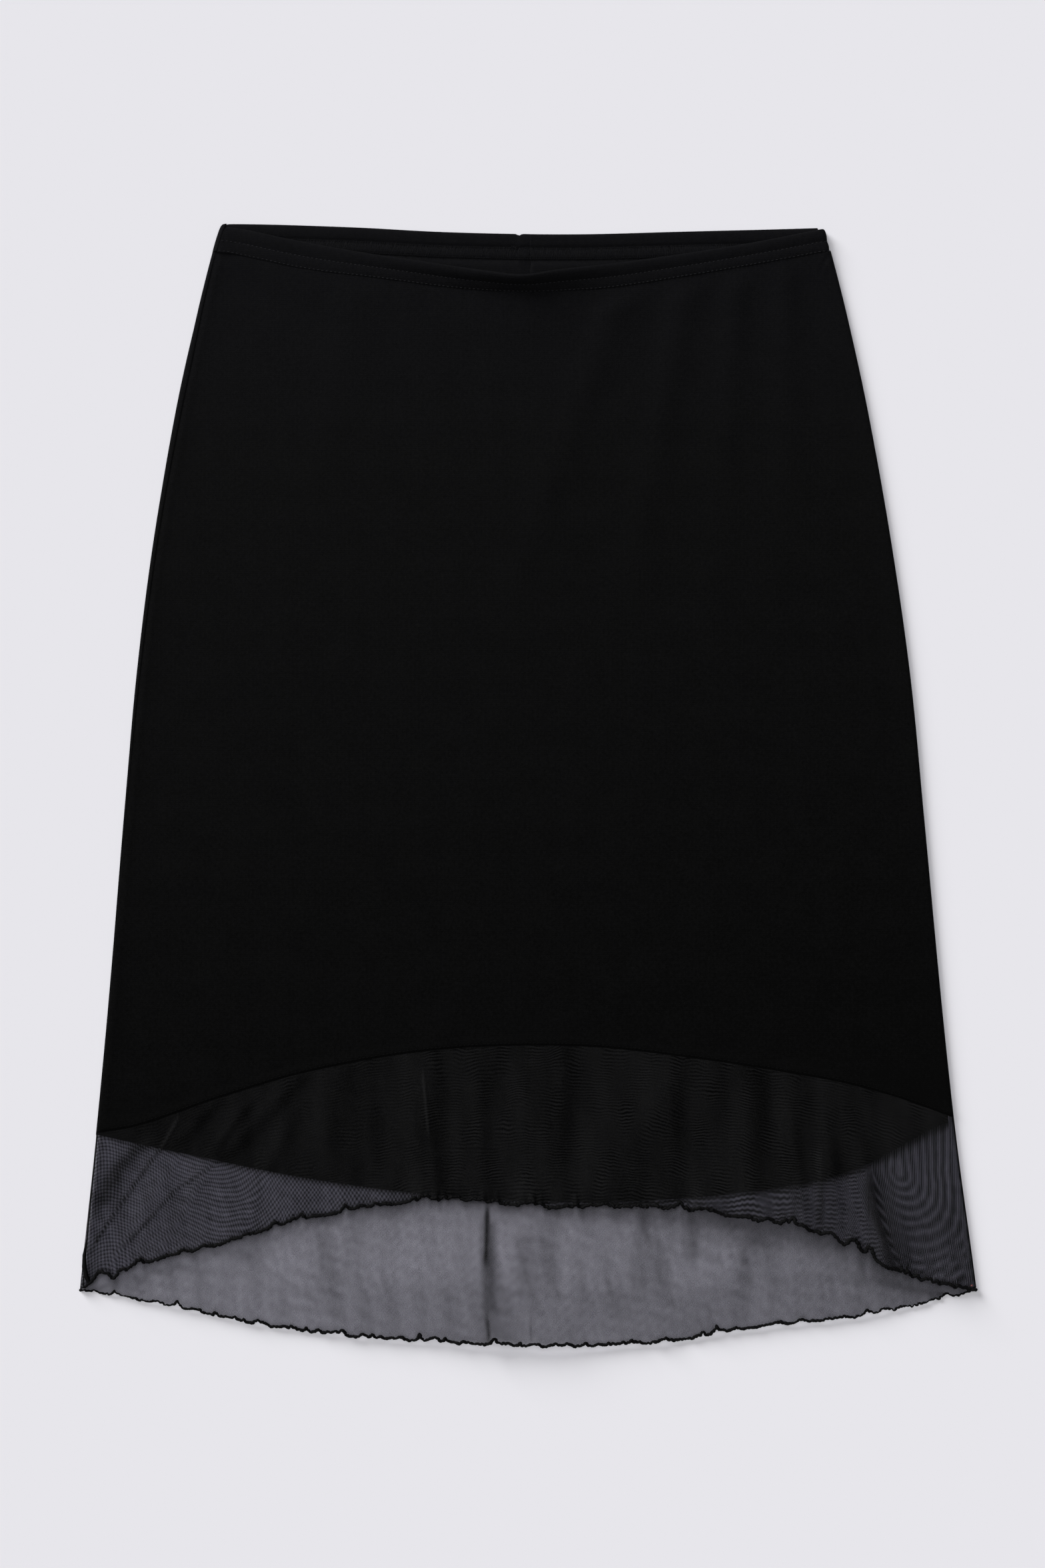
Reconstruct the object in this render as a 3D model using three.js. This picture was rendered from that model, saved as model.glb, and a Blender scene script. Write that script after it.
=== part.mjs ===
// A knee-length slip skirt of black jersey with a sheer mesh hem band, laid flat, front side up.
// Units are millimetres. X runs across the skirt, Y from the hem to the waist, and Z up from the
// surface that the skirt lies on. Depths are measured down from the top of the waist.
import * as THREE from "three";

const WALL = 1.2; // thickness of each cloth wall
const SEAM_GAP = 0.3; // clearance between two sewn pieces, and between two layers
const BACK_HEIGHT = WALL / 2; // middle of the back layer, whose underside lies on the surface
const FRONT_HEIGHT = BACK_HEIGHT + WALL + SEAM_GAP + 0.2; // middle of the front layer where it is flat
const FOLD_LOFT = 0.7; // how far the front layer rises towards the folded sides
const FOLD_LOFT_REACH = 9; // how far in from the sides that rise can be seen
const RIGHT_UNDERLAP = 3.2; // the front layer goes this far round the right fold
const FOLD_STRETCH = 6.5; // length of each layer, from the fold's extreme, that gets close columns
const CENTRE_BACK = 0.4; // place of the seam down the middle of the back

const CASING_DEPTH = 14.0; // turned-down waist casing with its elastic
const CASING_HEIGHT = 1.3; // middle of the casing where it lies on the surface
const CASING_LAYER = 2.95; // how far the front casing lies above the back one at the sides
const CASING_FADE = 13; // the panel below comes down from the casing within about this depth

const EDGE_RADIUS = 0.75; // narrow overlocked edge of the mesh
const EDGE_SIDES = 5;
const EDGE_SHORTENED = 0.5; // each end stops this share of a step before the side seam

// Folded sides of the skirt.
const OUTLINE = [
  { depth: 0, left: -165.6, right: 158.6 },
  { depth: 13, left: -169.8, right: 162.4 },
  { depth: 48, left: -178.7, right: 171.4 },
  { depth: 102, left: -190.6, right: 183.2 },
  { depth: 174, left: -202.9, right: 196.0 },
  { depth: 246, left: -211.9, right: 206.2 },
  { depth: 318, left: -218.3, right: 213.2 },
  { depth: 426, left: -227.3, right: 223.4 },
  { depth: 498, left: -234.2, right: 231.3 },
  { depth: 576, left: -242.5, right: 241.8 },
  { depth: 620, left: -246.5, right: 246.8 },
];

// How far the left side seam lies round the fold, on the side that shows.
const LEFT_SEAM = [
  { depth: 0, round: 2.5 },
  { depth: 40, round: 2.6 },
  { depth: 82, round: 3.6 },
  { depth: 166, round: 2.8 },
  { depth: 270, round: 2.1 },
  { depth: 346, round: 1.4 },
  { depth: 420, round: 0.9 },
  { depth: 500, round: 1.0 },
  { depth: 576, round: 1.9 },
];

const BACK_TOP = [
  { x: -170, depth: 2.2 },
  { x: -160, depth: 0.7 },
  { x: -96, depth: 2.4 },
  { x: -48, depth: 4.9 },
  { x: 0, depth: 6.1 },
  { x: 34, depth: 6.1 },
  { x: 82, depth: 4.8 },
  { x: 130, depth: 3.6 },
  { x: 165, depth: 2.6 },
];

const FRONT_TOP = [
  { x: -170, depth: 2.2 },
  { x: -156, depth: 3.6 },
  { x: -128, depth: 9.4 },
  { x: -93, depth: 15.9 },
  { x: -58, depth: 21.4 },
  { x: -22, depth: 27.2 },
  { x: -4, depth: 29.4 },
  { x: 16, depth: 26.3 },
  { x: 60, depth: 20.6 },
  { x: 108, depth: 13.3 },
  { x: 134, depth: 8.6 },
  { x: 156, depth: 4.2 },
  { x: 165, depth: 2.6 },
];

const FRONT_CASING_END = [
  { x: -174, depth: 16.0 },
  { x: -162, depth: 16.9 },
  { x: -148, depth: 19.8 },
  { x: -119, depth: 25.8 },
  { x: -83, depth: 30.2 },
  { x: -40, depth: 35.6 },
  { x: -4, depth: 37.6 },
  { x: 24, depth: 36.9 },
  { x: 48, depth: 35.1 },
  { x: 96, depth: 27.6 },
  { x: 144, depth: 19.2 },
  { x: 158, depth: 16.6 },
  { x: 168, depth: 16.3 },
];

const FRONT_MESH_SEAM = [
  { x: -236, depth: 491.8 },
  { x: -211, depth: 487.6 },
  { x: -166, depth: 472.2 },
  { x: -118, depth: 458.2 },
  { x: -51, depth: 446.8 },
  { x: 22, depth: 444.4 },
  { x: 81, depth: 450.0 },
  { x: 159, depth: 462.2 },
  { x: 195, depth: 471.0 },
  { x: 232, depth: 484.0 },
];

const BACK_MESH_SEAM = [
  { x: -236, depth: 491.8 },
  { x: -188, depth: 502.2 },
  { x: -118, depth: 516.2 },
  { x: -51, depth: 525.0 },
  { x: 10, depth: 528.6 },
  { x: 75, depth: 527.4 },
  { x: 142, depth: 519.8 },
  { x: 180, depth: 509.4 },
  { x: 219, depth: 488.6 },
  { x: 232, depth: 484.0 },
];

const FRONT_HEM = [
  { x: -244, depth: 574.8 },
  { x: -219, depth: 563.3 },
  { x: -170, depth: 550.7 },
  { x: -123, depth: 536.9 },
  { x: -75, depth: 528.4 },
  { x: -37, depth: 524.8 },
  { x: 22, depth: 527.4 },
  { x: 75, depth: 530.2 },
  { x: 133, depth: 538.2 },
  { x: 162, depth: 546.0 },
  { x: 196, depth: 562.8 },
  { x: 222, depth: 571.6 },
  { x: 244, depth: 574.8 },
];

const BACK_HEM = [
  { x: -244, depth: 574.4 },
  { x: -201, depth: 581.6 },
  { x: -141, depth: 594.0 },
  { x: -84, depth: 600.4 },
  { x: 17, depth: 604.6 },
  { x: 72, depth: 602.6 },
  { x: 124, depth: 594.4 },
  { x: 173, depth: 589.4 },
  { x: 213, depth: 581.8 },
  { x: 244, depth: 574.4 },
];

// Profile of the waist casing from its stitched lower end to its top edge. Along is a share of what
// shows from above, and rise is how far the lip stands up where it is lifted most.
const CASING_PROFILE = [
  { along: 0.0, thickness: 1.7, rise: 0.0 },
  { along: 0.12, thickness: 1.9, rise: 0.8 },
  { along: 0.34, thickness: 2.3, rise: 2.7 },
  { along: 0.52, thickness: 2.0, rise: 4.3 },
  { along: 0.78, thickness: 2.6, rise: 6.3 },
  { along: 0.94, thickness: 2.2, rise: 7.2 },
  { along: 1.0, thickness: 1.3, rise: 7.3 },
];

// How much the front lip of the waist is lifted, 0 to 1.
const LIP_LIFT = [
  { x: -170, lift: 0 },
  { x: -90, lift: 0.08 },
  { x: -40, lift: 0.5 },
  { x: -6, lift: 1.0 },
  { x: 14, lift: 0.7 },
  { x: 50, lift: 0.2 },
  { x: 165, lift: 0 },
];
const LIP_RAISES_PANEL = 1.3; // rise of the casing's lower end under the most lifted lip
const LIP_FADE = 34; // depth over which the panel comes down again

// Soft ridges of the front layer, from their upper to their lower end.
const RIDGES = [
  { topX: 48, topDepth: 40, endX: -6, endDepth: 190, width: 11, height: 0.9 },
  { topX: 86, topDepth: 30, endX: 60, endDepth: 170, width: 9, height: 0.9 },
  { topX: 112, topDepth: 26, endX: 104, endDepth: 150, width: 8, height: 0.8 },
  { topX: 138, topDepth: 22, endX: 140, endDepth: 130, width: 7, height: 0.7 },
  { topX: -92, topDepth: 36, endX: -112, endDepth: 140, width: 12, height: 0.5 },
];

// Folds of the front mesh, which open from the seam towards the hem.
const FRONT_MESH_FOLDS = [
  { seamX: -172, hemX: -228, width: 4.5, height: 1.6 },
  { seamX: -150, hemX: -200, width: 4.0, height: 1.3 },
  { seamX: -116, hemX: -158, width: 6.0, height: 1.5 },
  { seamX: -58, hemX: -50, width: 3.6, height: 1.5 },
  { seamX: -28, hemX: -24, width: 5.0, height: 1.0 },
  { seamX: 18, hemX: 16, width: 6.0, height: 1.1 },
  { seamX: 66, hemX: 58, width: 7.0, height: 1.0 },
  { seamX: 118, hemX: 122, width: 5.0, height: 1.4 },
  { seamX: 138, hemX: 148, width: 5.0, height: 2.3 },
  { seamX: 158, hemX: 168, width: 4.5, height: 1.9 },
  { seamX: 172, hemX: 190, width: 5.0, height: 3.0 },
];

// Folds of the back mesh, which shows below the front hem.
const BACK_MESH_FOLDS = [
  { seamX: -150, hemX: -156, width: 5.0, height: 0.7 },
  { seamX: -92, hemX: -98, width: 6.0, height: 0.7 },
  { seamX: -23, hemX: -21, width: 2.6, height: 1.5 },
  { seamX: 14, hemX: 2, width: 7.0, height: 0.9 },
  { seamX: 62, hemX: 70, width: 6.0, height: 0.7 },
  { seamX: 126, hemX: 120, width: 6.0, height: 0.8 },
];

// Small waves that the overlocked edge forces into the mesh. Where they come from unevenly spaced
// stitching, spread moves each one and uneven changes its size.
const HEM_WAVES = {
  front: { count: 31, height: 1.25, notch: 1.5, spread: 0.24, uneven: 0.42, lift: 0.35 },
  back: { count: 36, height: 0.95, notch: 1.2, spread: 0.26, uneven: 0.45, lift: 0.0 },
};
const WAVE_REACH = 9; // how far the waves run up into the mesh
const COLUMNS_PER_WAVE = 4;

// The largest waves, one by one: place, rise, and how far the edge is drawn up (or let down).
const LARGE_WAVES = [
  { x: -230, width: 4.5, height: 2.4, notch: 3.0 },
  { x: -223, width: 2.6, height: 0.6, notch: -4.4 },
  { x: -217, width: 2.6, height: 1.2, notch: -1.4 },
  { x: 147, width: 3.6, height: 1.6, notch: 2.4 },
  { x: 164, width: 2.8, height: 1.0, notch: 1.8 },
  { x: 175, width: 2.8, height: 1.6, notch: 3.4 },
  { x: 184, width: 2.8, height: 1.8, notch: 3.6 },
  { x: 192, width: 3.4, height: 0.6, notch: -1.4 },
];

// A smooth function through a table's rows: value against key, with even tangents.
function through(rows, key, value) {
  const xs = rows.map((row) => row[key]);
  const ys = rows.map((row) => row[value]);
  const last = xs.length - 1;
  const slope = xs.map((_, i) => {
    const a = Math.max(i - 1, 0);
    const b = Math.min(i + 1, last);
    return (ys[b] - ys[a]) / (xs[b] - xs[a]);
  });
  return (x) => {
    const at = THREE.MathUtils.clamp(x, xs[0], xs[last]);
    let i = 0;
    while (i < last - 1 && at > xs[i + 1]) i += 1;
    const width = xs[i + 1] - xs[i];
    const t = (at - xs[i]) / width;
    const rest = 1 - t;
    return (
      ys[i] * (1 + 2 * t) * rest * rest +
      slope[i] * width * t * rest * rest +
      ys[i + 1] * (3 - 2 * t) * t * t -
      slope[i + 1] * width * t * t * rest
    );
  };
}

const leftSide = through(OUTLINE, "depth", "left");
const rightSide = through(OUTLINE, "depth", "right");
const leftSeam = through(LEFT_SEAM, "depth", "round");
const backTop = through(BACK_TOP, "x", "depth");
const frontTop = through(FRONT_TOP, "x", "depth");
const frontCasingEnd = through(FRONT_CASING_END, "x", "depth");
const frontMeshSeam = through(FRONT_MESH_SEAM, "x", "depth");
const backMeshSeam = through(BACK_MESH_SEAM, "x", "depth");
const frontHemLine = through(FRONT_HEM, "x", "depth");
const backHemLine = through(BACK_HEM, "x", "depth");
const lipLift = through(LIP_LIFT, "x", "lift");
const backCasingEnd = (x) => backTop(x) + CASING_DEPTH;

const bump = (offset, width) => Math.exp(-((offset / width) ** 2));
const share = (value, from, to) => THREE.MathUtils.clamp((value - from) / (to - from), 0, 1);
const smooth = (t) => t * t * (3 - 2 * t);

// The waves of one hem at a place along it: rise, and how far the edge is drawn up.
function hemWaves(wave, x, large) {
  const half = rightSide(576);
  const along = (x + half) / (2 * half);
  let rise = 0;
  let drawn = 0;
  for (let k = 0; k < wave.count; k += 1) {
    const place = (k + 0.5 + wave.spread * Math.sin(2.4 * k)) / wave.count;
    const size = 1 + wave.uneven * Math.sin(1.7 * k + 0.5);
    const offset = (along - place) * wave.count;
    rise += wave.height * size * bump(offset, 0.36);
    drawn += wave.notch * size * bump(offset - 0.12, 0.26);
  }
  for (const one of large) {
    rise += one.height * bump(x - one.x, one.width);
    drawn += one.notch * bump(x - one.x, one.width);
  }
  const flatEnds = smooth(share(half - Math.abs(x), 1, 12));
  return { rise: wave.lift + rise * flatEnds, drawn: drawn * flatEnds };
}

const frontWaves = (x) => hemWaves(HEM_WAVES.front, x, LARGE_WAVES);
const backWaves = (x) => hemWaves(HEM_WAVES.back, x, []);
const frontHem = (x) => frontHemLine(x) - frontWaves(x).drawn;
const backHem = (x) => backHemLine(x) - backWaves(x).drawn;

function ridgeRise(x, depth) {
  let rise = 0;
  for (const ridge of RIDGES) {
    const t = share(depth, ridge.topDepth, ridge.endDepth);
    const middle = THREE.MathUtils.lerp(ridge.topX, ridge.endX, t);
    const past = depth > ridge.endDepth ? bump(depth - ridge.endDepth, 40) : 1;
    rise += ridge.height * (1 - 0.6 * t) * past * bump(x - middle, ridge.width);
  }
  return rise;
}

// The rise of the folds that start at a seam and grow towards a hem.
function foldRise(folds, x, depth, seamDepth, hemDepth) {
  const t = share(depth, seamDepth, hemDepth);
  let rise = 0;
  for (const fold of folds) {
    const middle = THREE.MathUtils.lerp(fold.seamX, fold.hemX, t);
    rise += fold.height * bump(x - middle, fold.width);
  }
  return rise * smooth(Math.min(1, t * 1.6));
}

function sideRise(x, depth) {
  const fromSide = Math.min(x - leftSide(depth), rightSide(depth) - x);
  return FOLD_LOFT * bump(Math.max(fromSide, 0), FOLD_LOFT_REACH);
}

// Middle height of the casing's lower end: on the back layer, and higher where it crosses the back casing.
function casingBase(x) {
  const overBackCasing = 1 - smooth(share(frontTop(x) - backCasingEnd(x), -1.5, 9));
  const onBackLayer = BACK_HEIGHT + WALL / 2 + SEAM_GAP + CASING_HEIGHT;
  const high = CASING_HEIGHT + CASING_LAYER;
  return THREE.MathUtils.lerp(onBackLayer, high, overBackCasing) + LIP_RAISES_PANEL * lipLift(x);
}

// Middle height of the front layer, jersey and mesh.
function frontHeight(x, depth) {
  const belowCasing = Math.max(depth - frontCasingEnd(x), 0);
  const flat = FRONT_HEIGHT + sideRise(x, depth);
  const lifted = casingBase(x) - 0.35 - flat;
  const fade = THREE.MathUtils.lerp(CASING_FADE, LIP_FADE, lipLift(x));
  const hem = frontHemLine(x);
  const inSides = smooth(share(Math.min(x - leftSide(depth), rightSide(depth) - x), 3, 14));
  const waves = frontWaves(x).rise * bump(Math.max(hem - depth, 0), WAVE_REACH);
  const folds = foldRise(FRONT_MESH_FOLDS, x, depth, frontMeshSeam(x), hem);
  return flat + lifted * bump(belowCasing, fade) + (ridgeRise(x, depth) + waves + folds) * inSides;
}

// Middle height of the back layer: flat on the surface, with folds only where nothing lies on it.
function backHeight(x, depth) {
  const bare = frontHemLine(x) + 4;
  const hem = backHemLine(x);
  const shown = smooth(share(depth, bare, bare + 14));
  const inSides = smooth(share(Math.min(x - leftSide(depth), rightSide(depth) - x), 3, 14));
  const waves = backWaves(x).rise * bump(Math.max(hem - depth, 0), WAVE_REACH);
  const folds = foldRise(BACK_MESH_FOLDS, x, depth, backMeshSeam(x), hem);
  return BACK_HEIGHT + (waves + folds) * shown * inSides;
}

// A point of a layer round a folded side. Round is the length from the fold's extreme, positive on
// the side that shows, and low and high are the middle heights of the two layers at the fold.
function roundFold(sign, edge, round, low, high, wall) {
  const radius = (high - low) / 2;
  const quarter = (Math.PI / 2) * radius;
  const turn = THREE.MathUtils.clamp(round / radius, -Math.PI / 2, Math.PI / 2);
  const past = Math.max(Math.abs(round) - quarter, 0);
  const inward = wall / 2 + radius * (1 - Math.cos(turn)) + past;
  return {
    x: edge - sign * inward,
    z: (low + high) / 2 + radius * Math.sin(turn),
    normal: new THREE.Vector3(sign * Math.cos(turn), 0, Math.sin(turn)),
    past,
  };
}

// Evenly spaced numbers from one value to another, both included.
const steps = (from, to, count) =>
  Array.from({ length: count + 1 }, (_, i) => from + ((to - from) * i) / count);

// The columns of a layer: near a fold they are places round it, and between the folds they are
// shares of the run. Each layer goes from its left end to its right end.
function layerColumns({ left, run, right }) {
  return [
    ...left.map((t) => ({ side: -1, t })),
    ...run.map((t) => ({ side: 0, t })),
    ...right.map((t) => ({ side: 1, t })),
  ];
}

const FRONT_ENDS = { left: steps(0, 0.75, 3), right: steps(0.12, 1, 7) };
const BACK_ENDS = { left: steps(0, 0.88, 7), right: steps(0.25, 1, 3) };

// Where a column of the front layer lies at a depth, with its outward normal.
function onFront(column, depth, wall = WALL, height = frontHeight, low = BACK_HEIGHT) {
  const left = leftSide(depth);
  const right = rightSide(depth);
  const highAt = (x) => height(x, depth);
  const leftEnd = roundFold(-1, left, FOLD_STRETCH, low, highAt(left), wall).x;
  const rightEnd = roundFold(1, right, FOLD_STRETCH, low, highAt(right), wall).x;
  if (column.side === 0) {
    const x = THREE.MathUtils.lerp(leftEnd, rightEnd, column.t);
    return { x, z: highAt(x), normal: new THREE.Vector3(0, 0, 1) };
  }
  const start = leftSeam(depth) + SEAM_GAP / 2;
  const round =
    column.side < 0
      ? THREE.MathUtils.lerp(start, FOLD_STRETCH, column.t)
      : THREE.MathUtils.lerp(FOLD_STRETCH, -RIGHT_UNDERLAP + SEAM_GAP / 2, column.t);
  const edge = column.side < 0 ? left : right;
  const at = roundFold(column.side, edge, round, low, highAt(edge), wall);
  return { ...at, z: round > 0 && at.past > 0 ? highAt(at.x) : at.z };
}

// The same for the back layer, which shows its outward side to the surface below.
function onBack(column, depth, wall = WALL, height = backHeight, front = frontHeight) {
  const left = leftSide(depth);
  const right = rightSide(depth);
  const low = height(left, depth);
  const leftEnd = roundFold(-1, left, -FOLD_STRETCH, low, front(left, depth), wall).x;
  const rightEnd = roundFold(1, right, -FOLD_STRETCH, low, front(right, depth), wall).x;
  if (column.side === 0) {
    const x = THREE.MathUtils.lerp(leftEnd, rightEnd, column.t);
    return { x, z: height(x, depth), normal: new THREE.Vector3(0, 0, -1) };
  }
  const start = leftSeam(depth) - SEAM_GAP / 2;
  const round =
    column.side < 0
      ? THREE.MathUtils.lerp(start, -FOLD_STRETCH, column.t)
      : THREE.MathUtils.lerp(-FOLD_STRETCH, -RIGHT_UNDERLAP - SEAM_GAP / 2, column.t);
  const edge = column.side < 0 ? left : right;
  const at = roundFold(column.side, edge, round, low, front(edge, depth), wall);
  return { ...at, z: round > 0 && at.past > 0 ? front(at.x, depth) : at.z };
}

// A column's depth on a line given as depth against x. The side's slope moves x with depth, so the
// place is found in a few rounds.
function depthOn(line, column, place) {
  let depth = line(0);
  for (let i = 0; i < 5; i += 1) depth = line(place(column, depth).x);
  return depth;
}

const at3 = (x, depth, z) => new THREE.Vector3(x, -depth, z);

// Turns each straight normal to the slope of the grid around it, so that the wall keeps its thickness.
function leanNormals(columns) {
  const within = (i, list) => THREE.MathUtils.clamp(i, 0, list.length - 1);
  const pointAt = (c, r) => columns[within(c, columns)][within(r, columns[0])].at;
  const leant = columns.map((column, c) =>
    column.map(({ normal }, r) => {
      if (Math.abs(normal.z) < 1) return normal;
      const across = pointAt(c + 1, r).clone().sub(pointAt(c - 1, r));
      const down = pointAt(c, r - 1).clone().sub(pointAt(c, r + 1));
      return across.cross(down).normalize().multiplyScalar(Math.sign(normal.z));
    }),
  );
  columns.forEach((column, c) => column.forEach((point, r) => (point.normal = leant[c][r])));
}

// A closed wall from a grid of middle points with outward normals, in columns of equal length.
function wallGeometry(columns, thickness) {
  const rows = columns[0].length;
  const lastColumn = columns.length - 1;
  const lastRow = rows - 1;
  leanNormals(columns);
  const positions = [];
  const push = (point, offset) => {
    const p = point.at.clone().addScaledVector(point.normal, offset);
    positions.push(p.x, p.y, p.z);
  };
  for (const column of columns) for (const point of column) push(point, thickness / 2);
  for (const column of columns) for (const point of column) push(point, -thickness / 2);
  const outer = (c, r) => c * rows + r;
  const inner = (c, r) => (columns.length + c) * rows + r;
  const index = [];
  const quad = (a, b, c, d) => index.push(a, b, c, a, c, d);
  for (let c = 0; c < lastColumn; c += 1) {
    for (let r = 0; r < lastRow; r += 1) {
      quad(outer(c, r), outer(c, r + 1), outer(c + 1, r + 1), outer(c + 1, r));
      quad(inner(c, r), inner(c + 1, r), inner(c + 1, r + 1), inner(c, r + 1));
    }
    quad(outer(c, 0), outer(c + 1, 0), inner(c + 1, 0), inner(c, 0));
    quad(outer(c, lastRow), inner(c, lastRow), inner(c + 1, lastRow), outer(c + 1, lastRow));
  }
  for (let r = 0; r < lastRow; r += 1) {
    quad(outer(0, r), inner(0, r), inner(0, r + 1), outer(0, r + 1));
    quad(outer(lastColumn, r), outer(lastColumn, r + 1), inner(lastColumn, r + 1), inner(lastColumn, r));
  }
  return solid(positions, index);
}

// A closed tube from rings of equal size, each a list of points that turn the same way.
function ringGeometry(rings) {
  const size = rings[0].length;
  const positions = rings.flat().flatMap((p) => [p.x, p.y, p.z]);
  const index = [];
  for (let i = 0; i < rings.length - 1; i += 1) {
    for (let j = 0; j < size; j += 1) {
      const a = i * size + j;
      const b = i * size + ((j + 1) % size);
      index.push(a, b, b + size, a, b + size, a + size);
    }
  }
  const last = (rings.length - 1) * size;
  for (let j = 1; j < size - 1; j += 1) {
    index.push(0, j + 1, j);
    index.push(last, last + j, last + j + 1);
  }
  return solid(positions, index);
}

// A geometry whose faces point out, whichever way its index was written.
function solid(positions, index) {
  let volume = 0;
  const corner = (i) => new THREE.Vector3().fromArray(positions, 3 * i);
  for (let i = 0; i < index.length; i += 3) {
    volume += corner(index[i]).dot(corner(index[i + 1]).cross(corner(index[i + 2])));
  }
  if (volume < 0) index.reverse();
  const geometry = new THREE.BufferGeometry();
  geometry.setAttribute("position", new THREE.Float32BufferAttribute(positions, 3));
  geometry.setIndex(index);
  geometry.computeVertexNormals();
  return geometry;
}

// A panel between two lines, as a wall whose rows lie at the given shares of the way down.
function panelGeometry(columns, place, topLine, endLine, rowShares) {
  const grid = columns.map((column) => {
    const top = depthOn(topLine, column, place) + SEAM_GAP / 2;
    const end = depthOn(endLine, column, place) - SEAM_GAP / 2;
    return rowShares.map((row) => {
      const depth = THREE.MathUtils.lerp(top, end, row);
      const { x, z, normal } = place(column, depth);
      return { at: at3(x, depth, z), normal };
    });
  });
  return wallGeometry(grid, WALL);
}

const JERSEY_ROWS = [0, 0.02, 0.05, 0.09, 0.14, 0.2, 0.27, 0.35, 0.44, 0.54, 0.65, 0.77, 0.89, 1];
const MESH_ROWS = [0, 0.35, 0.7, 0.9, 1];

function frontPanel() {
  const columns = layerColumns({ ...FRONT_ENDS, run: steps(0.03, 0.97, 32) });
  return panelGeometry(columns, onFront, frontCasingEnd, frontMeshSeam, JERSEY_ROWS);
}

// The share of the back layer's run at which the centre seam lies, at a depth.
function centreShare(depth) {
  const left = onBack({ side: 0, t: 0 }, depth).x;
  const right = onBack({ side: 0, t: 1 }, depth).x;
  return (CENTRE_BACK - left) / (right - left);
}

// One half of the back layer, from its side to the centre seam. Half is -1 on the left, 1 on the right.
function backHalf(half) {
  const ends = half < 0 ? { left: BACK_ENDS.left, right: [] } : { left: [], right: BACK_ENDS.right };
  const run = half < 0 ? steps(0.03, 1, 7) : steps(0, 0.97, 7);
  const columns = layerColumns({ ...ends, run });
  const place = (column, depth) => {
    if (column.side !== 0) return onBack(column, depth);
    const centre = centreShare(depth);
    const t = half < 0 ? column.t * centre : THREE.MathUtils.lerp(centre, 1, column.t);
    const at = onBack({ side: 0, t }, depth);
    const atSeam = half < 0 ? column.t === 1 : column.t === 0;
    return atSeam ? { ...at, x: at.x + (half * SEAM_GAP) / 2 } : at;
  };
  return panelGeometry(columns, place, backCasingEnd, backMeshSeam, JERSEY_ROWS);
}

const meshRun = (wave) => steps(0.012, 0.988, wave.count * COLUMNS_PER_WAVE);

function meshBand(ends, wave, place, seamLine, hemLine) {
  const columns = layerColumns({ ...ends, run: meshRun(wave) });
  return panelGeometry(columns, place, seamLine, hemLine, MESH_ROWS);
}

// The narrow overlocked edge: a tube just outside the mesh's last row, with all its waves.
function hemEdge(ends, wave, place, hemLine, least) {
  const columns = layerColumns({ ...ends, run: meshRun(wave) });
  const meshEnd = columns.map((column) => {
    const depth = depthOn(hemLine, column, place) - SEAM_GAP / 2;
    const { x, z } = place(column, depth);
    return at3(x, depth, Math.max(z, column.side === 0 ? least : EDGE_RADIUS));
  });
  const last = meshEnd.length - 1;
  meshEnd[0].lerp(meshEnd[1], EDGE_SHORTENED);
  meshEnd[last].lerp(meshEnd[last - 1], EDGE_SHORTENED);
  const rings = meshEnd.map((end, i) => {
    const along = meshEnd[Math.min(i + 1, last)].clone().sub(meshEnd[Math.max(i - 1, 0)]).normalize();
    const across = new THREE.Vector3(0, -1, 0).addScaledVector(along, along.y).normalize();
    const third = along.clone().cross(across);
    const centre = end.clone().addScaledVector(across, SEAM_GAP + EDGE_RADIUS);
    return Array.from({ length: EDGE_SIDES }, (_, j) => {
      const angle = (2 * Math.PI * (j + 0.25)) / EDGE_SIDES;
      return centre
        .clone()
        .addScaledVector(across, EDGE_RADIUS * Math.cos(angle))
        .addScaledVector(third, EDGE_RADIUS * Math.sin(angle));
    });
  });
  return ringGeometry(rings);
}

// The waist casing along a row of columns. Line gives its top and lower end against x, and base the
// middle height of its lower end.
function casingGeometry(columns, place, topLine, endLine, lift) {
  const rings = columns.map((column) => {
    const top = depthOn(topLine, column, place);
    const end = depthOn(endLine, column, place) - SEAM_GAP / 2;
    const middles = CASING_PROFILE.map(({ along, thickness, rise }) => {
      const depth = THREE.MathUtils.lerp(end, top, along);
      const { x, z, normal } = place(column, depth);
      return { at: at3(x, depth, z + rise * lift(x)), normal, thickness };
    });
    const outer = [];
    const inner = [];
    middles.forEach(({ at, normal, thickness }, i) => {
      const before = middles[Math.max(i - 1, 0)].at;
      const after = middles[Math.min(i + 1, middles.length - 1)].at;
      const up = after.clone().sub(before).normalize();
      const out = normal.clone().addScaledVector(up, -normal.dot(up)).normalize();
      outer.push(at.clone().addScaledVector(out, thickness / 2));
      inner.push(at.clone().addScaledVector(out, -thickness / 2));
    });
    return [...outer, ...inner.reverse()];
  });
  return ringGeometry(rings);
}

const casingFront = (x) => casingBase(x);
const CASING_WALL = 2 * CASING_HEIGHT;

function onFrontCasing(column, depth) {
  return onFront(column, depth, CASING_WALL, casingFront, CASING_HEIGHT);
}

function onBackCasing(column, depth) {
  return onBack(column, depth, CASING_WALL, () => CASING_HEIGHT, casingFront);
}

function frontCasing() {
  const columns = layerColumns({ ...FRONT_ENDS, run: steps(0.02, 0.98, 36) });
  return casingGeometry(columns, onFrontCasing, frontTop, frontCasingEnd, lipLift);
}

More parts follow.
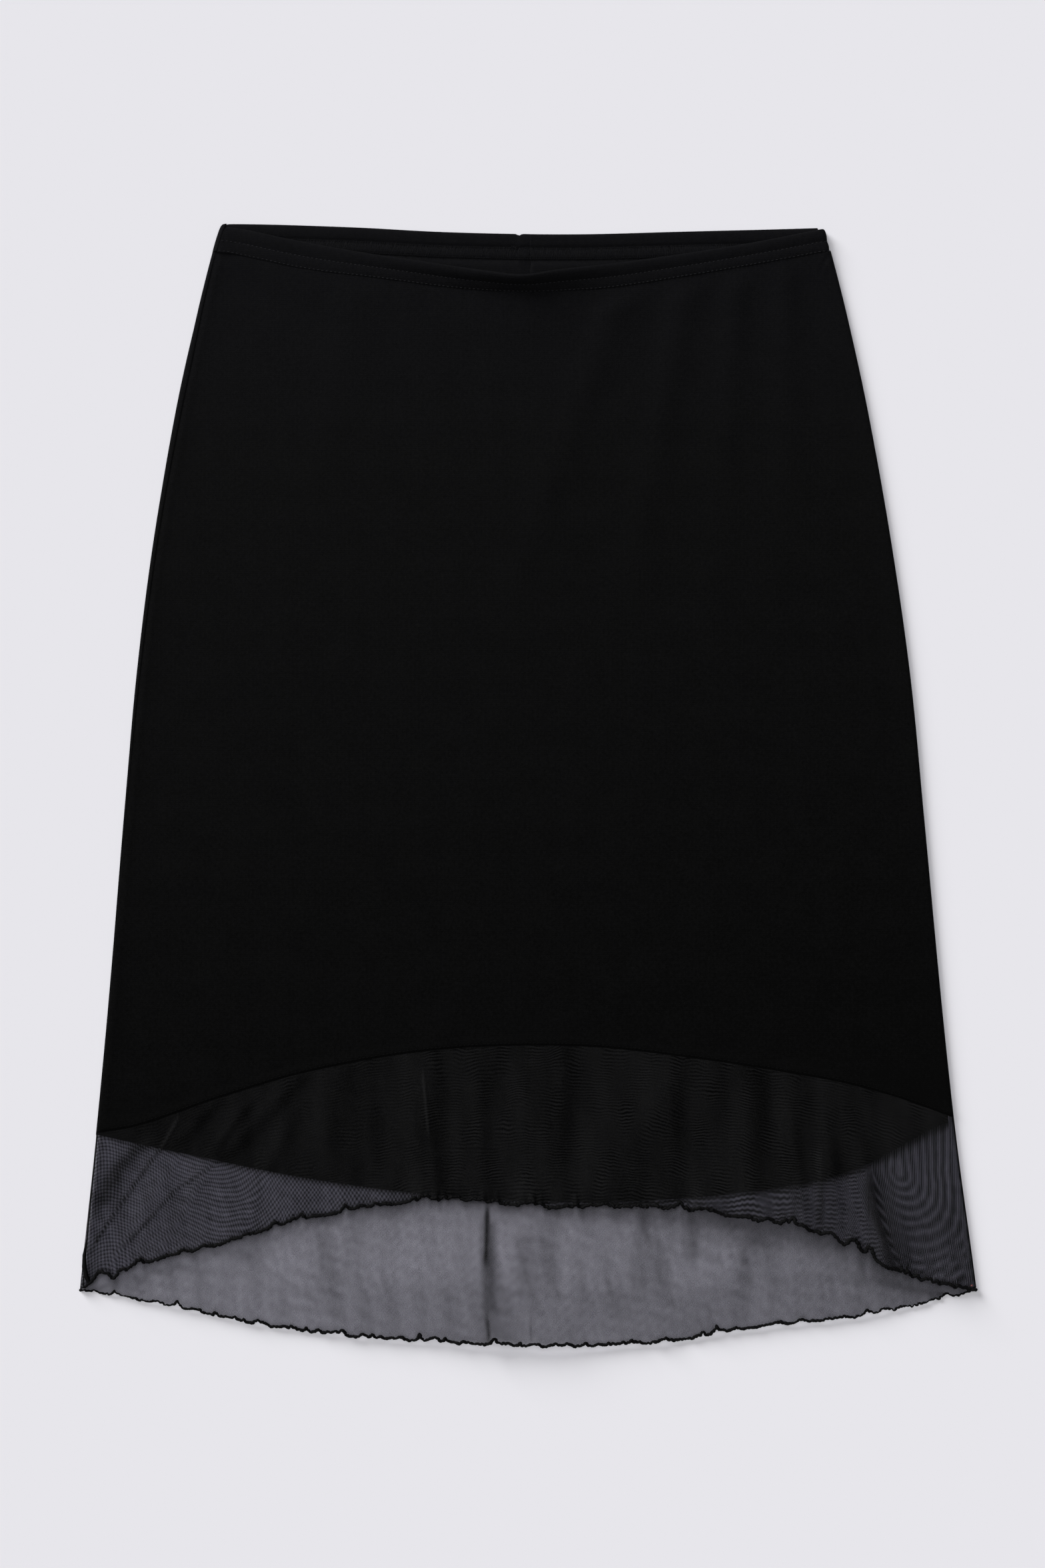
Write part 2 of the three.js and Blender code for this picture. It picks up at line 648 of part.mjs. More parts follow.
function backCasing(half) {
  const ends = half < 0 ? { left: BACK_ENDS.left, right: [] } : { left: [], right: BACK_ENDS.right };
  const run = half < 0 ? steps(0.03, 1, 12) : steps(0, 0.97, 12);
  const columns = layerColumns({ ...ends, run });
  const place = (column, depth) => {
    if (column.side !== 0) return onBackCasing(column, depth);
    const left = onBackCasing({ side: 0, t: 0 }, depth).x;
    const right = onBackCasing({ side: 0, t: 1 }, depth).x;
    const centre = (CENTRE_BACK + (half * SEAM_GAP) / 2 - left) / (right - left);
    const t = half < 0 ? column.t * centre : THREE.MathUtils.lerp(centre, 1, column.t);
    return onBackCasing({ side: 0, t }, depth);
  };
  return casingGeometry(columns, place, backTop, backCasingEnd, () => 0);
}

const jersey = new THREE.MeshStandardMaterial({ color: 0x0d0d0f, roughness: 0.85 });
const sheer = new THREE.MeshStandardMaterial({
  color: 0x1b1b20,
  roughness: 0.7,
  transparent: true,
  opacity: 0.62,
});
const thread = new THREE.MeshStandardMaterial({ color: 0x0a0a0c, roughness: 0.8 });

const FRONT_EDGE_LEAST = BACK_HEIGHT + WALL / 2 + SEAM_GAP + EDGE_RADIUS;
const pieces = [
  ["front_panel", frontPanel(), jersey],
  ["back_panel_left", backHalf(-1), jersey],
  ["back_panel_right", backHalf(1), jersey],
  ["waist_casing_front", frontCasing(), jersey],
  ["waist_casing_back_left", backCasing(-1), jersey],
  ["waist_casing_back_right", backCasing(1), jersey],
  ["mesh_band_front", meshBand(FRONT_ENDS, HEM_WAVES.front, onFront, frontMeshSeam, frontHem), sheer],
  ["mesh_band_back", meshBand(BACK_ENDS, HEM_WAVES.back, onBack, backMeshSeam, backHem), sheer],
  ["hem_edge_front", hemEdge(FRONT_ENDS, HEM_WAVES.front, onFront, frontHem, FRONT_EDGE_LEAST), thread],
  ["hem_edge_back", hemEdge(BACK_ENDS, HEM_WAVES.back, onBack, backHem, EDGE_RADIUS), thread],
];

const skirt = new THREE.Group();
for (const [name, geometry, material] of pieces) {
  const mesh = new THREE.Mesh(geometry, material);
  mesh.name = name;
  skirt.add(mesh);
}

// The origin is the middle of the skirt's footprint, on the surface that it lies on.
const box = new THREE.Box3().setFromObject(skirt);
const middle = box.getCenter(new THREE.Vector3());
skirt.position.set(-middle.x, -middle.y, 0);

export default skirt;
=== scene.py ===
"""A slip skirt of black jersey with a sheer mesh hem band, laid flat, front side up.

Lengths are in millimetres until a mesh is made. X runs across the skirt, depth runs down from the
top of the waist to the hem, and z rises from the surface that the skirt lies on.
"""
import math
from functools import partial

import bpy
import numpy as np
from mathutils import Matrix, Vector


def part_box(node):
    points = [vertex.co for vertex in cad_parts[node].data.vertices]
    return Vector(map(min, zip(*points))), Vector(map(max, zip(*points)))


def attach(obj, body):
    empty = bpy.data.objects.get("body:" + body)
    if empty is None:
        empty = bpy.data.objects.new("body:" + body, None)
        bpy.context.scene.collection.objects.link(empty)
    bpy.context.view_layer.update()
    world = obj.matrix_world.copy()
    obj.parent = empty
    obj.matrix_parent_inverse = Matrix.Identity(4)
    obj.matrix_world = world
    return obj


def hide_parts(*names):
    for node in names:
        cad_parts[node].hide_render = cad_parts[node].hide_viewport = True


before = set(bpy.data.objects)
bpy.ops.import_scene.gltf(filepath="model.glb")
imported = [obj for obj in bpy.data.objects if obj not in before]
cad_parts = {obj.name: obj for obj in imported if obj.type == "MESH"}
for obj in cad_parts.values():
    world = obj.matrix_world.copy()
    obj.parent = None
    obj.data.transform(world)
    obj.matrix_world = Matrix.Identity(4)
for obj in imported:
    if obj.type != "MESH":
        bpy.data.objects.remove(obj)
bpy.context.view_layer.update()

MM = 0.001

# Sizes shared with the solids
WALL = 1.2
SEAM_GAP = 0.3
BACK_HEIGHT = WALL / 2
FRONT_HEIGHT = BACK_HEIGHT + WALL + SEAM_GAP + 0.2
FOLD_LOFT = 0.7
FOLD_LOFT_REACH = 9
RIGHT_UNDERLAP = 3.2
FOLD_STRETCH = 6.5
CENTRE_BACK = 0.4
CASING_DEPTH = 14.0
CASING_HEIGHT = 1.3
CASING_LAYER = 2.95
CASING_FADE = 13
PANEL_UNDER_CASING = 0.62  # the body's middle lies this far below the casing's, where they meet
LIP_RAISES_PANEL = 1.3
LIP_FADE = 34
WAVE_REACH = 9

# Cloth and thread as they really are
JERSEY_THICKNESS = 0.7
SKIN = 0.05  # the shells lie this far inside the solids' outer faces
MESH_SKIN = 0.3
SEAM_OVERLAP = 0.06
FLOOR_GAP = 0.03  # no shell goes lower than this
UNDER_CASING = 0.9  # the body runs on this far under the casing, and stops short of the mesh seam
SHORT_OF_SEAM = 0.15
HALF_EDGES = {-1: 1.2, 1: 0.05}  # where the two back halves end, to the right of the centre back
STITCH_PITCH = 2.35
STITCH_LENGTH = 1.3
STITCH_RADIUS = 0.2
GAUGE = dict(lower=0.8, upper=6.4)  # the two needle rows, measured up from the casing's lower end

OUTLINE = dict(
    depth=[0, 13, 48, 102, 174, 246, 318, 426, 498, 576, 620],
    left=[-165.6, -169.8, -178.7, -190.6, -202.9, -211.9, -218.3, -227.3, -234.2, -242.5, -246.5],
    right=[158.6, 162.4, 171.4, 183.2, 196.0, 206.2, 213.2, 223.4, 231.3, 241.8, 246.8],
)

# The waist casing in section, from its lower end to its top fold. Out and in are measured from its
# middle along the outward normal, and rise is how far the lifted lip stands up.
CASING = dict(
    along=[0, 0.057, 0.11, 0.20, 0.31, 0.41, 0.457, 0.50, 0.58, 0.70, 0.82, 0.91, 0.965, 0.99, 1.0],
    rise=[0, 0.3, 0.6, 1.3, 2.2, 3.1, 3.55, 4.1, 5.3, 6.9, 8.2, 8.8, 9.0, 9.1, 9.1],
    front_out=[-0.05, 0.38, 0.55, 0.74, 0.8, 0.7, 0.55, 0.68, 0.95, 1.22, 1.26, 1.1, 0.8, 0.5, 0.1],
    front_in=[-0.5, -0.6, -0.8, -0.9, -0.95, -0.9, -0.9, -0.95, -1.1, -1.25, -1.25, -1.1, -0.8, -0.55, -0.2],
    back_out=[1.2, 1.22, 1.25, 1.25, 1.25, 1.25, 1.25, 1.25, 1.25, 1.25, 1.2, 1.05, 0.75, 0.5, 0.15],
    back_in=[0.5, 0.35, 0.0, -0.15, -0.2, -0.1, 0.02, -0.2, -0.7, -1.0, -1.05, -0.9, -0.6, -0.35, -0.1],
)

# Soft ridges below the waist: x and depth of the top and of the end, width, and height
RIDGES = [
    ((48, 40), (-6, 190), 11, 1.71),
    ((86, 30), (60, 170), 9, 1.71),
    ((112, 26), (104, 150), 8, 1.52),
    ((138, 22), (140, 130), 7, 1.33),
    ((-92, 36), (-112, 140), 12, 0.95),
]
RIDGE_FADE = 40
# Folds of the mesh: x at the seam, x at the hem, width, and height
FRONT_MESH_FOLDS = [
    (-172, -228, 4.5, 1.6),
    (-150, -200, 4.0, 1.3),
    (-116, -158, 6.0, 1.5),
    (-58, -50, 3.6, 1.5),
    (-28, -24, 5.0, 1.0),
    (18, 16, 6.0, 1.1),
    (66, 58, 7.0, 1.0),
    (118, 122, 5.0, 1.4),
    (138, 148, 5.0, 2.3),
    (158, 168, 4.5, 1.9),
    (172, 190, 5.0, 3.0),
]
BACK_MESH_FOLDS = [
    (-150, -156, 5.0, 0.7),
    (-92, -98, 6.0, 0.7),
    (-23, -21, 2.6, 1.5),
    (14, 2, 7.0, 0.9),
    (62, 70, 6.0, 0.7),
    (126, 120, 6.0, 0.8),
]
# Even waves along each hem, and how much of its kinks and lift goes into the height
HEM_WAVES = dict(
    front=dict(count=40, height=1.2, notch=1.5, spread=0.24, uneven=0.42, lift=0.35, kink=0.8, reach=20),
    back=dict(count=43, height=0.9, notch=1.15, spread=0.26, uneven=0.45, lift=0.0, kink=0.7, reach=15),
)
# Single waves: x, width, height, and how far they draw the edge up
LARGE_WAVES = dict(
    front=[
        (-230, 4.5, 2.4, 3.0),
        (-223, 2.6, 0.6, -4.4),
        (-217, 2.6, 1.2, -1.4),
        (147, 3.6, 1.6, 2.4),
        (164, 2.8, 1.0, 1.8),
        (175, 2.8, 1.6, 3.4),
        (184, 2.8, 1.8, 3.6),
        (192, 3.4, 0.6, -1.4),
    ],
    back=[],
)
KINKS = dict(count=84, span=232, most=1.9, lean=0.75, reach=3.0)
KINK_SEEDS = dict(front=5, back=8)
LOWER_CORNERS = 576  # depth of the outline's lower corners
NOISE_WAVES = 14
HEM_SAG = 1.3

# Thin creases, each through three points. The fifth value is how much thicker the net looks along it,
# which is partly folded-over net and partly painted shade, and the sixth how much lighter or darker its
# threads are, which is painted highlight where lighter and painted shade where darker.
CREASE = ("x", "depth", "width", "height", "density_and_shade", "tone_and_crease_shading")
FRONT_MESH_CREASES = [
    ((-119, -141, -164), (458, 482, 506), 5.6, 0.7, 0.3, -0.3),
    ((-148, -161, -173), (473, 489, 505), 3.2, 0.5, 0.2, -0.24),
    ((-166, -178, -191), (473, 486, 500), 3.8, 0.6, 0.3, -0.28),
    ((-189, -194, -200), (483, 492, 502), 0.6, 0.9, 0.3, 0.9),
    ((-199, -223, -236), (500, 534, 554), 1.2, 0.9, 1.2),
    ((-168, -190, -218), (507, 522, 552), 1.3, 0.8, 1.0),
    ((-205, -221, -233), (494, 510, 532), 4.6, 0.5, 1.6),
    ((-57, -55.6, -54), (459, 474, 491), 0.6, 0.7, 0.4, 0.6),
    ((-50, -47, -44), (436, 483, 535), 5.2, 0.3, 0.1, -0.17),
    ((-66, -63, -61), (440, 480, 530), 6.0, 0.2, 0.05, 0.1),
    ((22, 19, 17), (436, 483, 535), 4.4, 0.3, 0.1, -0.14),
    ((86, 80, 77), (440, 480, 535), 6.6, 0.3, 0.1, -0.13),
    ((121, 123, 126), (446, 486, 524), 6.4, 0.5, 0.4, -0.15),
    ((141, 143, 146), (452, 490, 534), 4.4, 0.5, 0.6, -0.1),
    ((157, 158, 157), (500, 520, 541), 2.0, 0.9, 1.1),
    ((183, 186, 196), (514, 533, 563), 3.0, 1.2, 1.5),
    ((188, 193, 204), (512, 538, 566), 5.0, 0.4, 0.5),
]
BACK_MESH_CREASES = [
    ((-22.4, -22.8, -23.2), (532, 546, 562), 1.1, 0.7, 2.3),
    ((-23.2, -22.6, -22.4), (556, 575, 590), 2.3, 0.5, 0.6),
    ((-21.0, -20.6, -20.2), (538, 560, 590), 3.4, 0.3, 0.4),
    ((-22.6, -21.8, -21.4), (590, 597, 604), 1.1, 0.8, 2.0),
    ((0.8, 1.2, 1.6), (592, 598, 604), 0.6, 0.7, 0.7),
    ((62, 62, 63), (528, 550, 574), 4.0, 0.4, 0.22),
    ((88, 88, 89), (530, 545, 560), 3.5, 0.4, 0.2),
    ((-2, -1, 4), (545, 565, 590), 4.0, 0.3, 0.16),
    ((-110, -108, -104), (545, 560, 590), 5.0, 0.3, 0.14),
]
WAIST_CREASE = dict(start=(163.2, 15.5), end=(156.5, 26.5), width=0.7, depth=0.45)

# The net of the sheer mesh: holes in staggered rows. Where the two layers cross over the pale
# surface, the front net is drawn a little out of line with the back one, which makes the fringes.
NET_PITCH = 0.44
NET_ROWS = 0.74
FRINGE_PITCH = 4.9
FRINGE_TOP = (200, 512)
DOTS_ACROSS = 2.1
DOTS_DOWN = 3.15
RIPPLE_PITCH = 2.4
WALE_PITCH = 0.97
RIB_PITCH = 1.71
NET_TURN = 0.55  # how far the lattice turns at the left side, in radians
RIGHT_FOLD = dict(depth=(508, 533, 563), x=(183, 186, 196))
# The painted shadow under the front hem, drawn as a denser back net, by x
HEM_SHADE = dict(
    reach=((-250, 0, 75, 129, 190, 240), (4.8, 4.2, 7.5, 12.5, 11, 5)),
    strength=((-250, -100, 0, 75, 240), (0.95, 1.5, 1.5, 1.2, 1.1)),
)

# The looper threads inside the back casing: pitch of each strand, its first row, and its radius
STRANDS = (
    (1.17, 0, 0.13), (1.17, 1, 0.13), (0.83, 0, 0.12),
    (0.71, 1, 0.11), (0.63, 0, 0.1), (1.61, 1, 0.15),
)
# The turned-up roll of allowance at the front hem's left corner
TURNED_ROLL = dict(
    along=(0, 0.3, 0.55, 0.8, 1),
    x=(-238.4, -239.7, -239.6, -238.6, -236.6),
    depth=(548.5, 557.4, 563.4, 568.4, 573.0),
)
TACK_AT = (239.0, 573.4)

# The knit's loops, and the darkest and lightest colour of each material
WALE = 0.37
COURSE = 0.55
COLOURS = dict(
    jersey=((0.0020, 0.0020, 0.0020), (0.0063, 0.0063, 0.0066)),
    mesh=((0.0012, 0.0012, 0.0012), (0.0152, 0.0152, 0.0156)),
    edge_thread=((0.0004, 0.0004, 0.0004), (0.003, 0.003, 0.0033)),
    needle_thread=((0.006, 0.006, 0.0065), (0.024, 0.024, 0.027)),
    looper_thread=((0.001, 0.001, 0.001), (0.0085, 0.0085, 0.0105)),
    tack_thread=((0.10, 0.03, 0.03), (0.30, 0.12, 0.12)),
)
# Painted light: a faint bluish lightening of the jersey towards the waist, standing in for the light's
# fall-off
WAIST_PAINTED_LIGHT = (0.0004, 0.0004, 0.0011)
CLEAR_NET = (0.955, 0.95, 1.0)

CAMERA = dict(x=-2.8, y=0.5, height=2000.0, lens=85.0, sensor=36.0)
FLOOR_COLOUR = (0.799, 0.791, 0.831)


def through(keys, values):
    """A smooth curve through a table's rows, as in the solids."""
    keys = np.array(keys, float)
    values = np.array(values, float)
    before = np.maximum(np.arange(len(keys)) - 1, 0)
    after = np.minimum(np.arange(len(keys)) + 1, len(keys) - 1)
    slopes = (values[after] - values[before]) / (keys[after] - keys[before])

    def curve(x):
        at = np.clip(x, keys[0], keys[-1])
        i = np.clip(np.searchsorted(keys, at) - 1, 0, len(keys) - 2)
        width = keys[i + 1] - keys[i]
        t = (at - keys[i]) / width
        rest = 1 - t
        return (
            values[i] * (1 + 2 * t) * rest**2
            + slopes[i] * width * t * rest**2
            + values[i + 1] * (3 - 2 * t) * t**2
            - slopes[i + 1] * width * t**2 * rest
        )

    return curve


# The sides are x by depth, and the seams and edges are depth by x. The left seam is how far it lies
# round the fold, and the lip is the share of its full lift.
left_side = through(OUTLINE["depth"], OUTLINE["left"])
right_side = through(OUTLINE["depth"], OUTLINE["right"])
left_seam = through(
    [0, 40, 82, 166, 270, 346, 420, 500, 576],
    [2.5, 2.6, 3.6, 2.8, 2.1, 1.4, 0.9, 1.0, 1.9],
)
back_top = through(
    [-170, -160, -96, -48, 0, 34, 82, 130, 165],
    [2.2, 0.7, 2.4, 4.9, 6.1, 6.1, 4.8, 3.6, 2.6],
)
front_top = through(
    [-170, -156, -128, -93, -58, -22, -4, 16, 60, 108, 134, 156, 165],
    [2.2, 3.6, 9.4, 15.9, 21.4, 27.2, 29.4, 26.3, 20.6, 13.3, 8.6, 4.2, 2.6],
)
front_casing_end = through(
    [-174, -162, -148, -119, -83, -40, -4, 24, 48, 96, 144, 158, 168],
    [16.0, 16.9, 19.8, 25.8, 30.2, 35.6, 37.6, 36.9, 35.1, 27.6, 19.2, 16.6, 16.3],
)
front_mesh_seam = through(
    [-236, -211, -166, -118, -51, 22, 81, 159, 195, 232],
    [491.8, 487.6, 472.2, 458.2, 446.8, 444.4, 450.0, 462.2, 471.0, 484.0],
)
back_mesh_seam = through(
    [-236, -188, -118, -51, 10, 75, 142, 180, 219, 232],
    [491.8, 502.2, 516.2, 525.0, 528.6, 527.4, 519.8, 509.4, 488.6, 484.0],
)
front_hem_line = through(
    [-244, -219, -170, -123, -75, -37, 22, 75, 133, 162, 196, 222, 244],
    [574.8, 563.3, 550.7, 536.9, 528.4, 524.8, 527.4, 530.2, 538.2, 546.0, 562.8, 571.6, 574.8],
)
back_hem_line = through(
    [-244, -201, -141, -84, 17, 72, 124, 173, 213, 244],
    [574.4, 581.6, 594.0, 600.4, 604.6, 602.6, 594.4, 589.4, 581.8, 574.4],
)
lip_lift = through([-170, -90, -40, -6, 14, 50, 165], [0, 0.08, 0.5, 1.0, 0.7, 0.2, 0])


def back_casing_end(x):
    return back_top(x) + CASING_DEPTH


def bump(offset, width=1.0):
    return np.exp(-((offset / width) ** 2))


def share(value, start, end):
    return np.clip((value - start) / (end - start), 0, 1)


def smooth(t):
    return t * t * (3 - 2 * t)


def ease(value, start, end):
    return smooth(share(value, start, end))


def lerp(a, b, t):
    return a + (b - a) * t


def uneven(x, y, *layers):
    """Soft noise in layers, each with its strength, the size of its features, and its seed."""
    total = 0
    for strength, size, seed in layers:
        rng = np.random.default_rng(seed)
        waves = 0
        for _ in range(NOISE_WAVES):
            angle, phase = rng.uniform(0, 2 * math.pi, 2)
            rate = 2 * math.pi / (size * rng.uniform(0.7, 1.9))
            waves = waves + np.sin(rate * (x * math.cos(angle) + y * math.sin(angle)) + phase)
        total = total + strength * waves / math.sqrt(NOISE_WAVES / 2) / 1.6
    return total


def hem_waves(kind, x):
    """Rise of a hem's waves, and how far they draw the edge up."""
    wave = HEM_WAVES[kind]
    half = right_side(LOWER_CORNERS)
    along = (x + half) / (2 * half)
    rise = 0
    drawn = 0
    for k in range(wave["count"]):
        place = (k + 0.5 + wave["spread"] * math.sin(2.4 * k)) / wave["count"]
        size = 1 + wave["uneven"] * math.sin(1.7 * k + 0.5)
        offset = (along - place) * wave["count"]
        rise = rise + wave["height"] * size * bump(offset, 0.36)
        drawn = drawn + wave["notch"] * size * bump(offset - 0.12, 0.26)
    for at, width, height, notch in LARGE_WAVES[kind]:
        rise = rise + height * bump(x - at, width)
        drawn = drawn + notch * bump(x - at, width)
    flat_ends = ease(half - np.abs(x), 1, 12)
    return wave["lift"] + rise * flat_ends, drawn * flat_ends


def kinks(kind, x):
    """Short uneven kinks between a hem's waves, steeper on one side."""
    rng = np.random.default_rng(KINK_SEEDS[kind])
    total = 0
    for place in np.sort(rng.uniform(-KINKS["span"], KINKS["span"], KINKS["count"])):
        size = KINKS["most"] * rng.uniform(0.15, 1) ** 1.7
        width = rng.uniform(0.8, 1.9)
        lean = rng.choice([-KINKS["lean"], KINKS["lean"]])
        d = (x - place) / width
        total = total + size * bump(d) * (1 + lean * np.tanh(1.8 * d))
    return total


def front_hem(x):
    sag = HEM_SAG + 3.1 * bump(x - 4, 38)
    return front_hem_line(x) - hem_waves("front", x)[1] - kinks("front", x) + sag


def back_hem(x):
    return back_hem_line(x) - hem_waves("back", x)[1] - kinks("back", x) + HEM_SAG


def hem_rise(kind, x, above, lifted):
    """How far a hem's waves, kinks and lift raise the mesh at a distance above the hem line."""
    wave = HEM_WAVES[kind]
    rise = hem_waves(kind, x)[0] * bump(above, WAVE_REACH)
    rise = rise + wave["kink"] * kinks(kind, x) * bump(above, KINKS["reach"])
    return rise + lifted * bump(above, wave["reach"])


def ridge_rise(x, depth):
    total = 0
    for (top_x, top_depth), (end_x, end_depth), width, height in RIDGES:
        t = share(depth, top_depth, end_depth)
        past = np.where(depth > end_depth, bump(depth - end_depth, RIDGE_FADE), 1)
        middle = lerp(top_x, end_x, t)
        total = total + height * (1 - 0.6 * t) * past * bump(x - middle, width)
    return total


def fold_rise(folds, x, depth, seam_depth, hem_depth):
    t = share(depth, seam_depth, hem_depth)
    total = 0
    for seam, hem, width, height in folds:
        total = total + height * bump(x - lerp(seam, hem, t), width)
    return total * smooth(np.minimum(1, t * 1.6))


def creases(rows, x, depth, key):
    """The height, density or colour of thin creases at a place. The density and colour carry painted
    shade along the creases, and painted highlight where the threads are made lighter.
    """
    total = 0
    for values in rows:
        row = dict(zip(CREASE, values))
        top, _, end = row["depth"]
        middle = np.interp(depth, row["depth"], row["x"])
        ends = ease(depth, top - 4, top + 5) * ease(-depth, -end - 4, -end + 5)
        total = total + row.get(key, 0) * bump(x - middle, row["width"]) * ends
    return total


def from_sides(x, depth):
    return np.minimum(x - left_side(depth), right_side(depth) - x)


def side_rise(x, depth):
    return FOLD_LOFT * bump(np.maximum(from_sides(x, depth), 0), FOLD_LOFT_REACH)


def away_from_sides(x, depth):
    """Nothing at the side folds, and one from 14 mm inside them."""
    return ease(from_sides(x, depth), 3, 14)


def casing_base(x):
    over_back = 1 - ease(front_top(x) - back_casing_end(x), -1.5, 9)
    on_back_layer = BACK_HEIGHT + WALL / 2 + SEAM_GAP + CASING_HEIGHT
    high = CASING_HEIGHT + CASING_LAYER
    return lerp(on_back_layer, high, over_back) + LIP_RAISES_PANEL * lip_lift(x)


def seam_relief(distance, ridge=0.32, groove=0.5):
    """A sewn edge: a groove at the seam, and a ridge where the allowance lies under the cloth."""
    return ridge * bump(distance - 2.6, 1.7) - groove * bump(distance, 0.75)


def front_height(x, depth):
    below_casing = np.maximum(depth - front_casing_end(x), 0)
    flat = FRONT_HEIGHT + side_rise(x, depth)
    lifted = casing_base(x) - PANEL_UNDER_CASING - flat
    fade = lerp(CASING_FADE, LIP_FADE, lip_lift(x))
    hem = front_hem_line(x)
    lifted_hem = 0.8 + 2.6 * ease(x, -60, 130) + uneven(x, 0, (0.4, 50, 13))
    detail = hem_rise("front", x, np.maximum(hem - depth, 0), lifted_hem)
    detail = detail + fold_rise(FRONT_MESH_FOLDS, x, depth, front_mesh_seam(x), hem)
    detail = detail + creases(FRONT_MESH_CREASES, x, depth, "height")
    detail = detail + uneven(x, depth, (0.1, 60, 3))
    detail = detail + uneven(x * 1.6, depth * 0.5, (0.05, 22, 4))
    detail = detail + ridge_rise(x, depth) * ease(below_casing, 0, 14)
    return flat + lifted * bump(below_casing, fade) + detail * away_from_sides(x, depth)


def back_height(x, depth):
    bare = front_hem_line(x) + 4
    hem = back_hem_line(x)
    shown = ease(depth, bare, bare + 14)
    lifted_hem = 1.9 + uneven(x, 0, (0.5, 60, 12)) + 4.4 * bump(x + 8, 46)
    detail = hem_rise("back", x, np.maximum(hem - depth, 0), lifted_hem)
    detail = detail + fold_rise(BACK_MESH_FOLDS, x, depth, back_mesh_seam(x), hem)
    detail = detail + creases(BACK_MESH_CREASES, x, depth, "height")
    return BACK_HEIGHT + detail * shown * away_from_sides(x, depth)


def round_fold(sign, edge, along, low, high, wall):
    """Across and up from a folded side: along is the length from the fold's extreme."""
    radius = (high - low) / 2
    quarter = math.pi / 2 * radius
    turn = np.clip(along / radius, -math.pi / 2, math.pi / 2)
    past = np.maximum(np.abs(along) - quarter, 0)
    inward = wall / 2 + radius * (1 - np.cos(turn)) + past
    return edge - sign * inward, (low + high) / 2 + radius * np.sin(turn), past


def place_layer(front, side, t, depth, high, low, wall):
    """Across and up for columns of a layer. Side is -1 or 1 at a fold, and 0 on the flat run."""
    left, right = left_side(depth), right_side(depth)
    heights = [(low(edge, depth), high(edge, depth)) for edge in (left, right)]
    stretch = FOLD_STRETCH if front else -FOLD_STRETCH
    gap = -SEAM_OVERLAP if front else SEAM_OVERLAP
    along_left = lerp(left_seam(depth) + gap, stretch, t)
    along_right = lerp(stretch, -RIGHT_UNDERLAP + gap, t)
    ends = [
        round_fold(-1, left, stretch, *heights[0], wall)[0],
        round_fold(1, right, stretch, *heights[1], wall)[0],
    ]
    folded_left = round_fold(-1, left, along_left, *heights[0], wall)
    folded_right = round_fold(1, right, along_right, *heights[1], wall)
    at_left = np.broadcast_to(side < 0, depth.shape)
    at_right = np.broadcast_to(side > 0, depth.shape)
    along = np.where(at_left, along_left, along_right)
    past = np.where(at_left, folded_left[2], folded_right[2])
    x = np.where(at_left, folded_left[0], np.where(at_right, folded_right[0], lerp(*ends, t)))
    z = np.where(at_left, folded_left[1], folded_right[1])
    on_top = (at_left | at_right) & (along > 0) & (past > 0)
    flat = high if front else low
    z = np.where(on_top, high(x, depth), z)
    return x, np.where(at_left | at_right, z, flat(x, depth))


def on_front(side, t, depth):
    low = lambda x, d: np.full_like(d, BACK_HEIGHT)
    return place_layer(True, side, t, depth, front_height, low, WALL)


def on_back(side, t, depth):
    return place_layer(False, side, t, depth, front_height, back_height, WALL)


def on_casing(front, side, t, depth):
    low = lambda x, d: np.full_like(d, CASING_HEIGHT)
    return place_layer(front, side, t, depth, lambda x, d: casing_base(x), low, 2 * CASING_HEIGHT)


on_front_casing = partial(on_casing, True)
on_back_casing = partial(on_casing, False)


def columns(left, run, right):
    """Sides and shares of a layer's columns, as two upright arrays."""
    side = np.concatenate([np.full(len(left), -1), np.zeros(len(run)), np.full(len(right), 1)])
    return side[:, None], np.concatenate([left, run, right])[:, None]


def depth_on(line, side, t, place):
    depth = np.full(t.shape, float(line(0)))
    for _ in range(6):
        depth = line(place(side, t, depth)[0])
    return depth


# The frame's origin is the middle of the skirt's footprint
SHIFT_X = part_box("back_panel_left")[1][0] / MM - (CENTRE_BACK - SEAM_GAP / 2)
SHIFT_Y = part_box("waist_casing_back_left")[1][1] / MM + back_top(np.linspace(-166, 0, 200)).min()


def frame_points(x, depth, z):
    return np.stack([x + SHIFT_X, SHIFT_Y - depth, z + 0 * x], axis=-1)


def unit(vectors):
    return vectors / np.maximum(np.linalg.norm(vectors, axis=-1, keepdims=True), 1e-9)


def grid_normals(points, front):
    across = np.gradient(points, axis=0)
    down = np.gradient(points, axis=1)
    return unit(np.cross(down, across) if front else np.cross(across, down))


def grid_quads(count, rows, first=0, flip=False):
    c, r = np.meshgrid(np.arange(count - 1), np.arange(rows - 1), indexing="ij")
    a = (first + c * rows + r).ravel()
    quads = np.stack([a, a + 1, a + rows + 1, a + rows], axis=1)
    return quads[:, ::-1] if flip else quads


def new_object(name, data):
    made = bpy.data.objects.new(name, data)
    bpy.context.scene.collection.objects.link(made)
    return made


def add_piece(name, mesh, material):
    """An object of a mesh, which rides on the one body."""
    mesh.materials.append(material)
    piece = new_object(name, mesh)
    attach(piece, "root")
    return piece


def new_mesh(name, points, faces, smooth_faces):
    mesh = bpy.data.meshes.new(name)
    mesh.from_pydata((points.reshape(-1, 3) * MM).tolist(), [], faces)
    mesh.polygons.foreach_set("use_smooth", smooth_faces)
    return mesh


def make_piece(name, points, quads, material, fields=None, rim=0):
    """A piece from points in millimetres. The rim's faces come last, and are flat, so that the
    cloth's shading runs evenly up to its edge."""
    mesh = new_mesh(name, points, quads.tolist(), np.arange(len(quads)) < len(quads) - rim)
    for key, values in (fields or {}).items():
        layer = mesh.attributes.new(key, "FLOAT", "POINT")
        layer.data.foreach_set("value", np.asarray(values, np.float32).ravel())
    mesh.update()
    return add_piece(name, mesh, material)


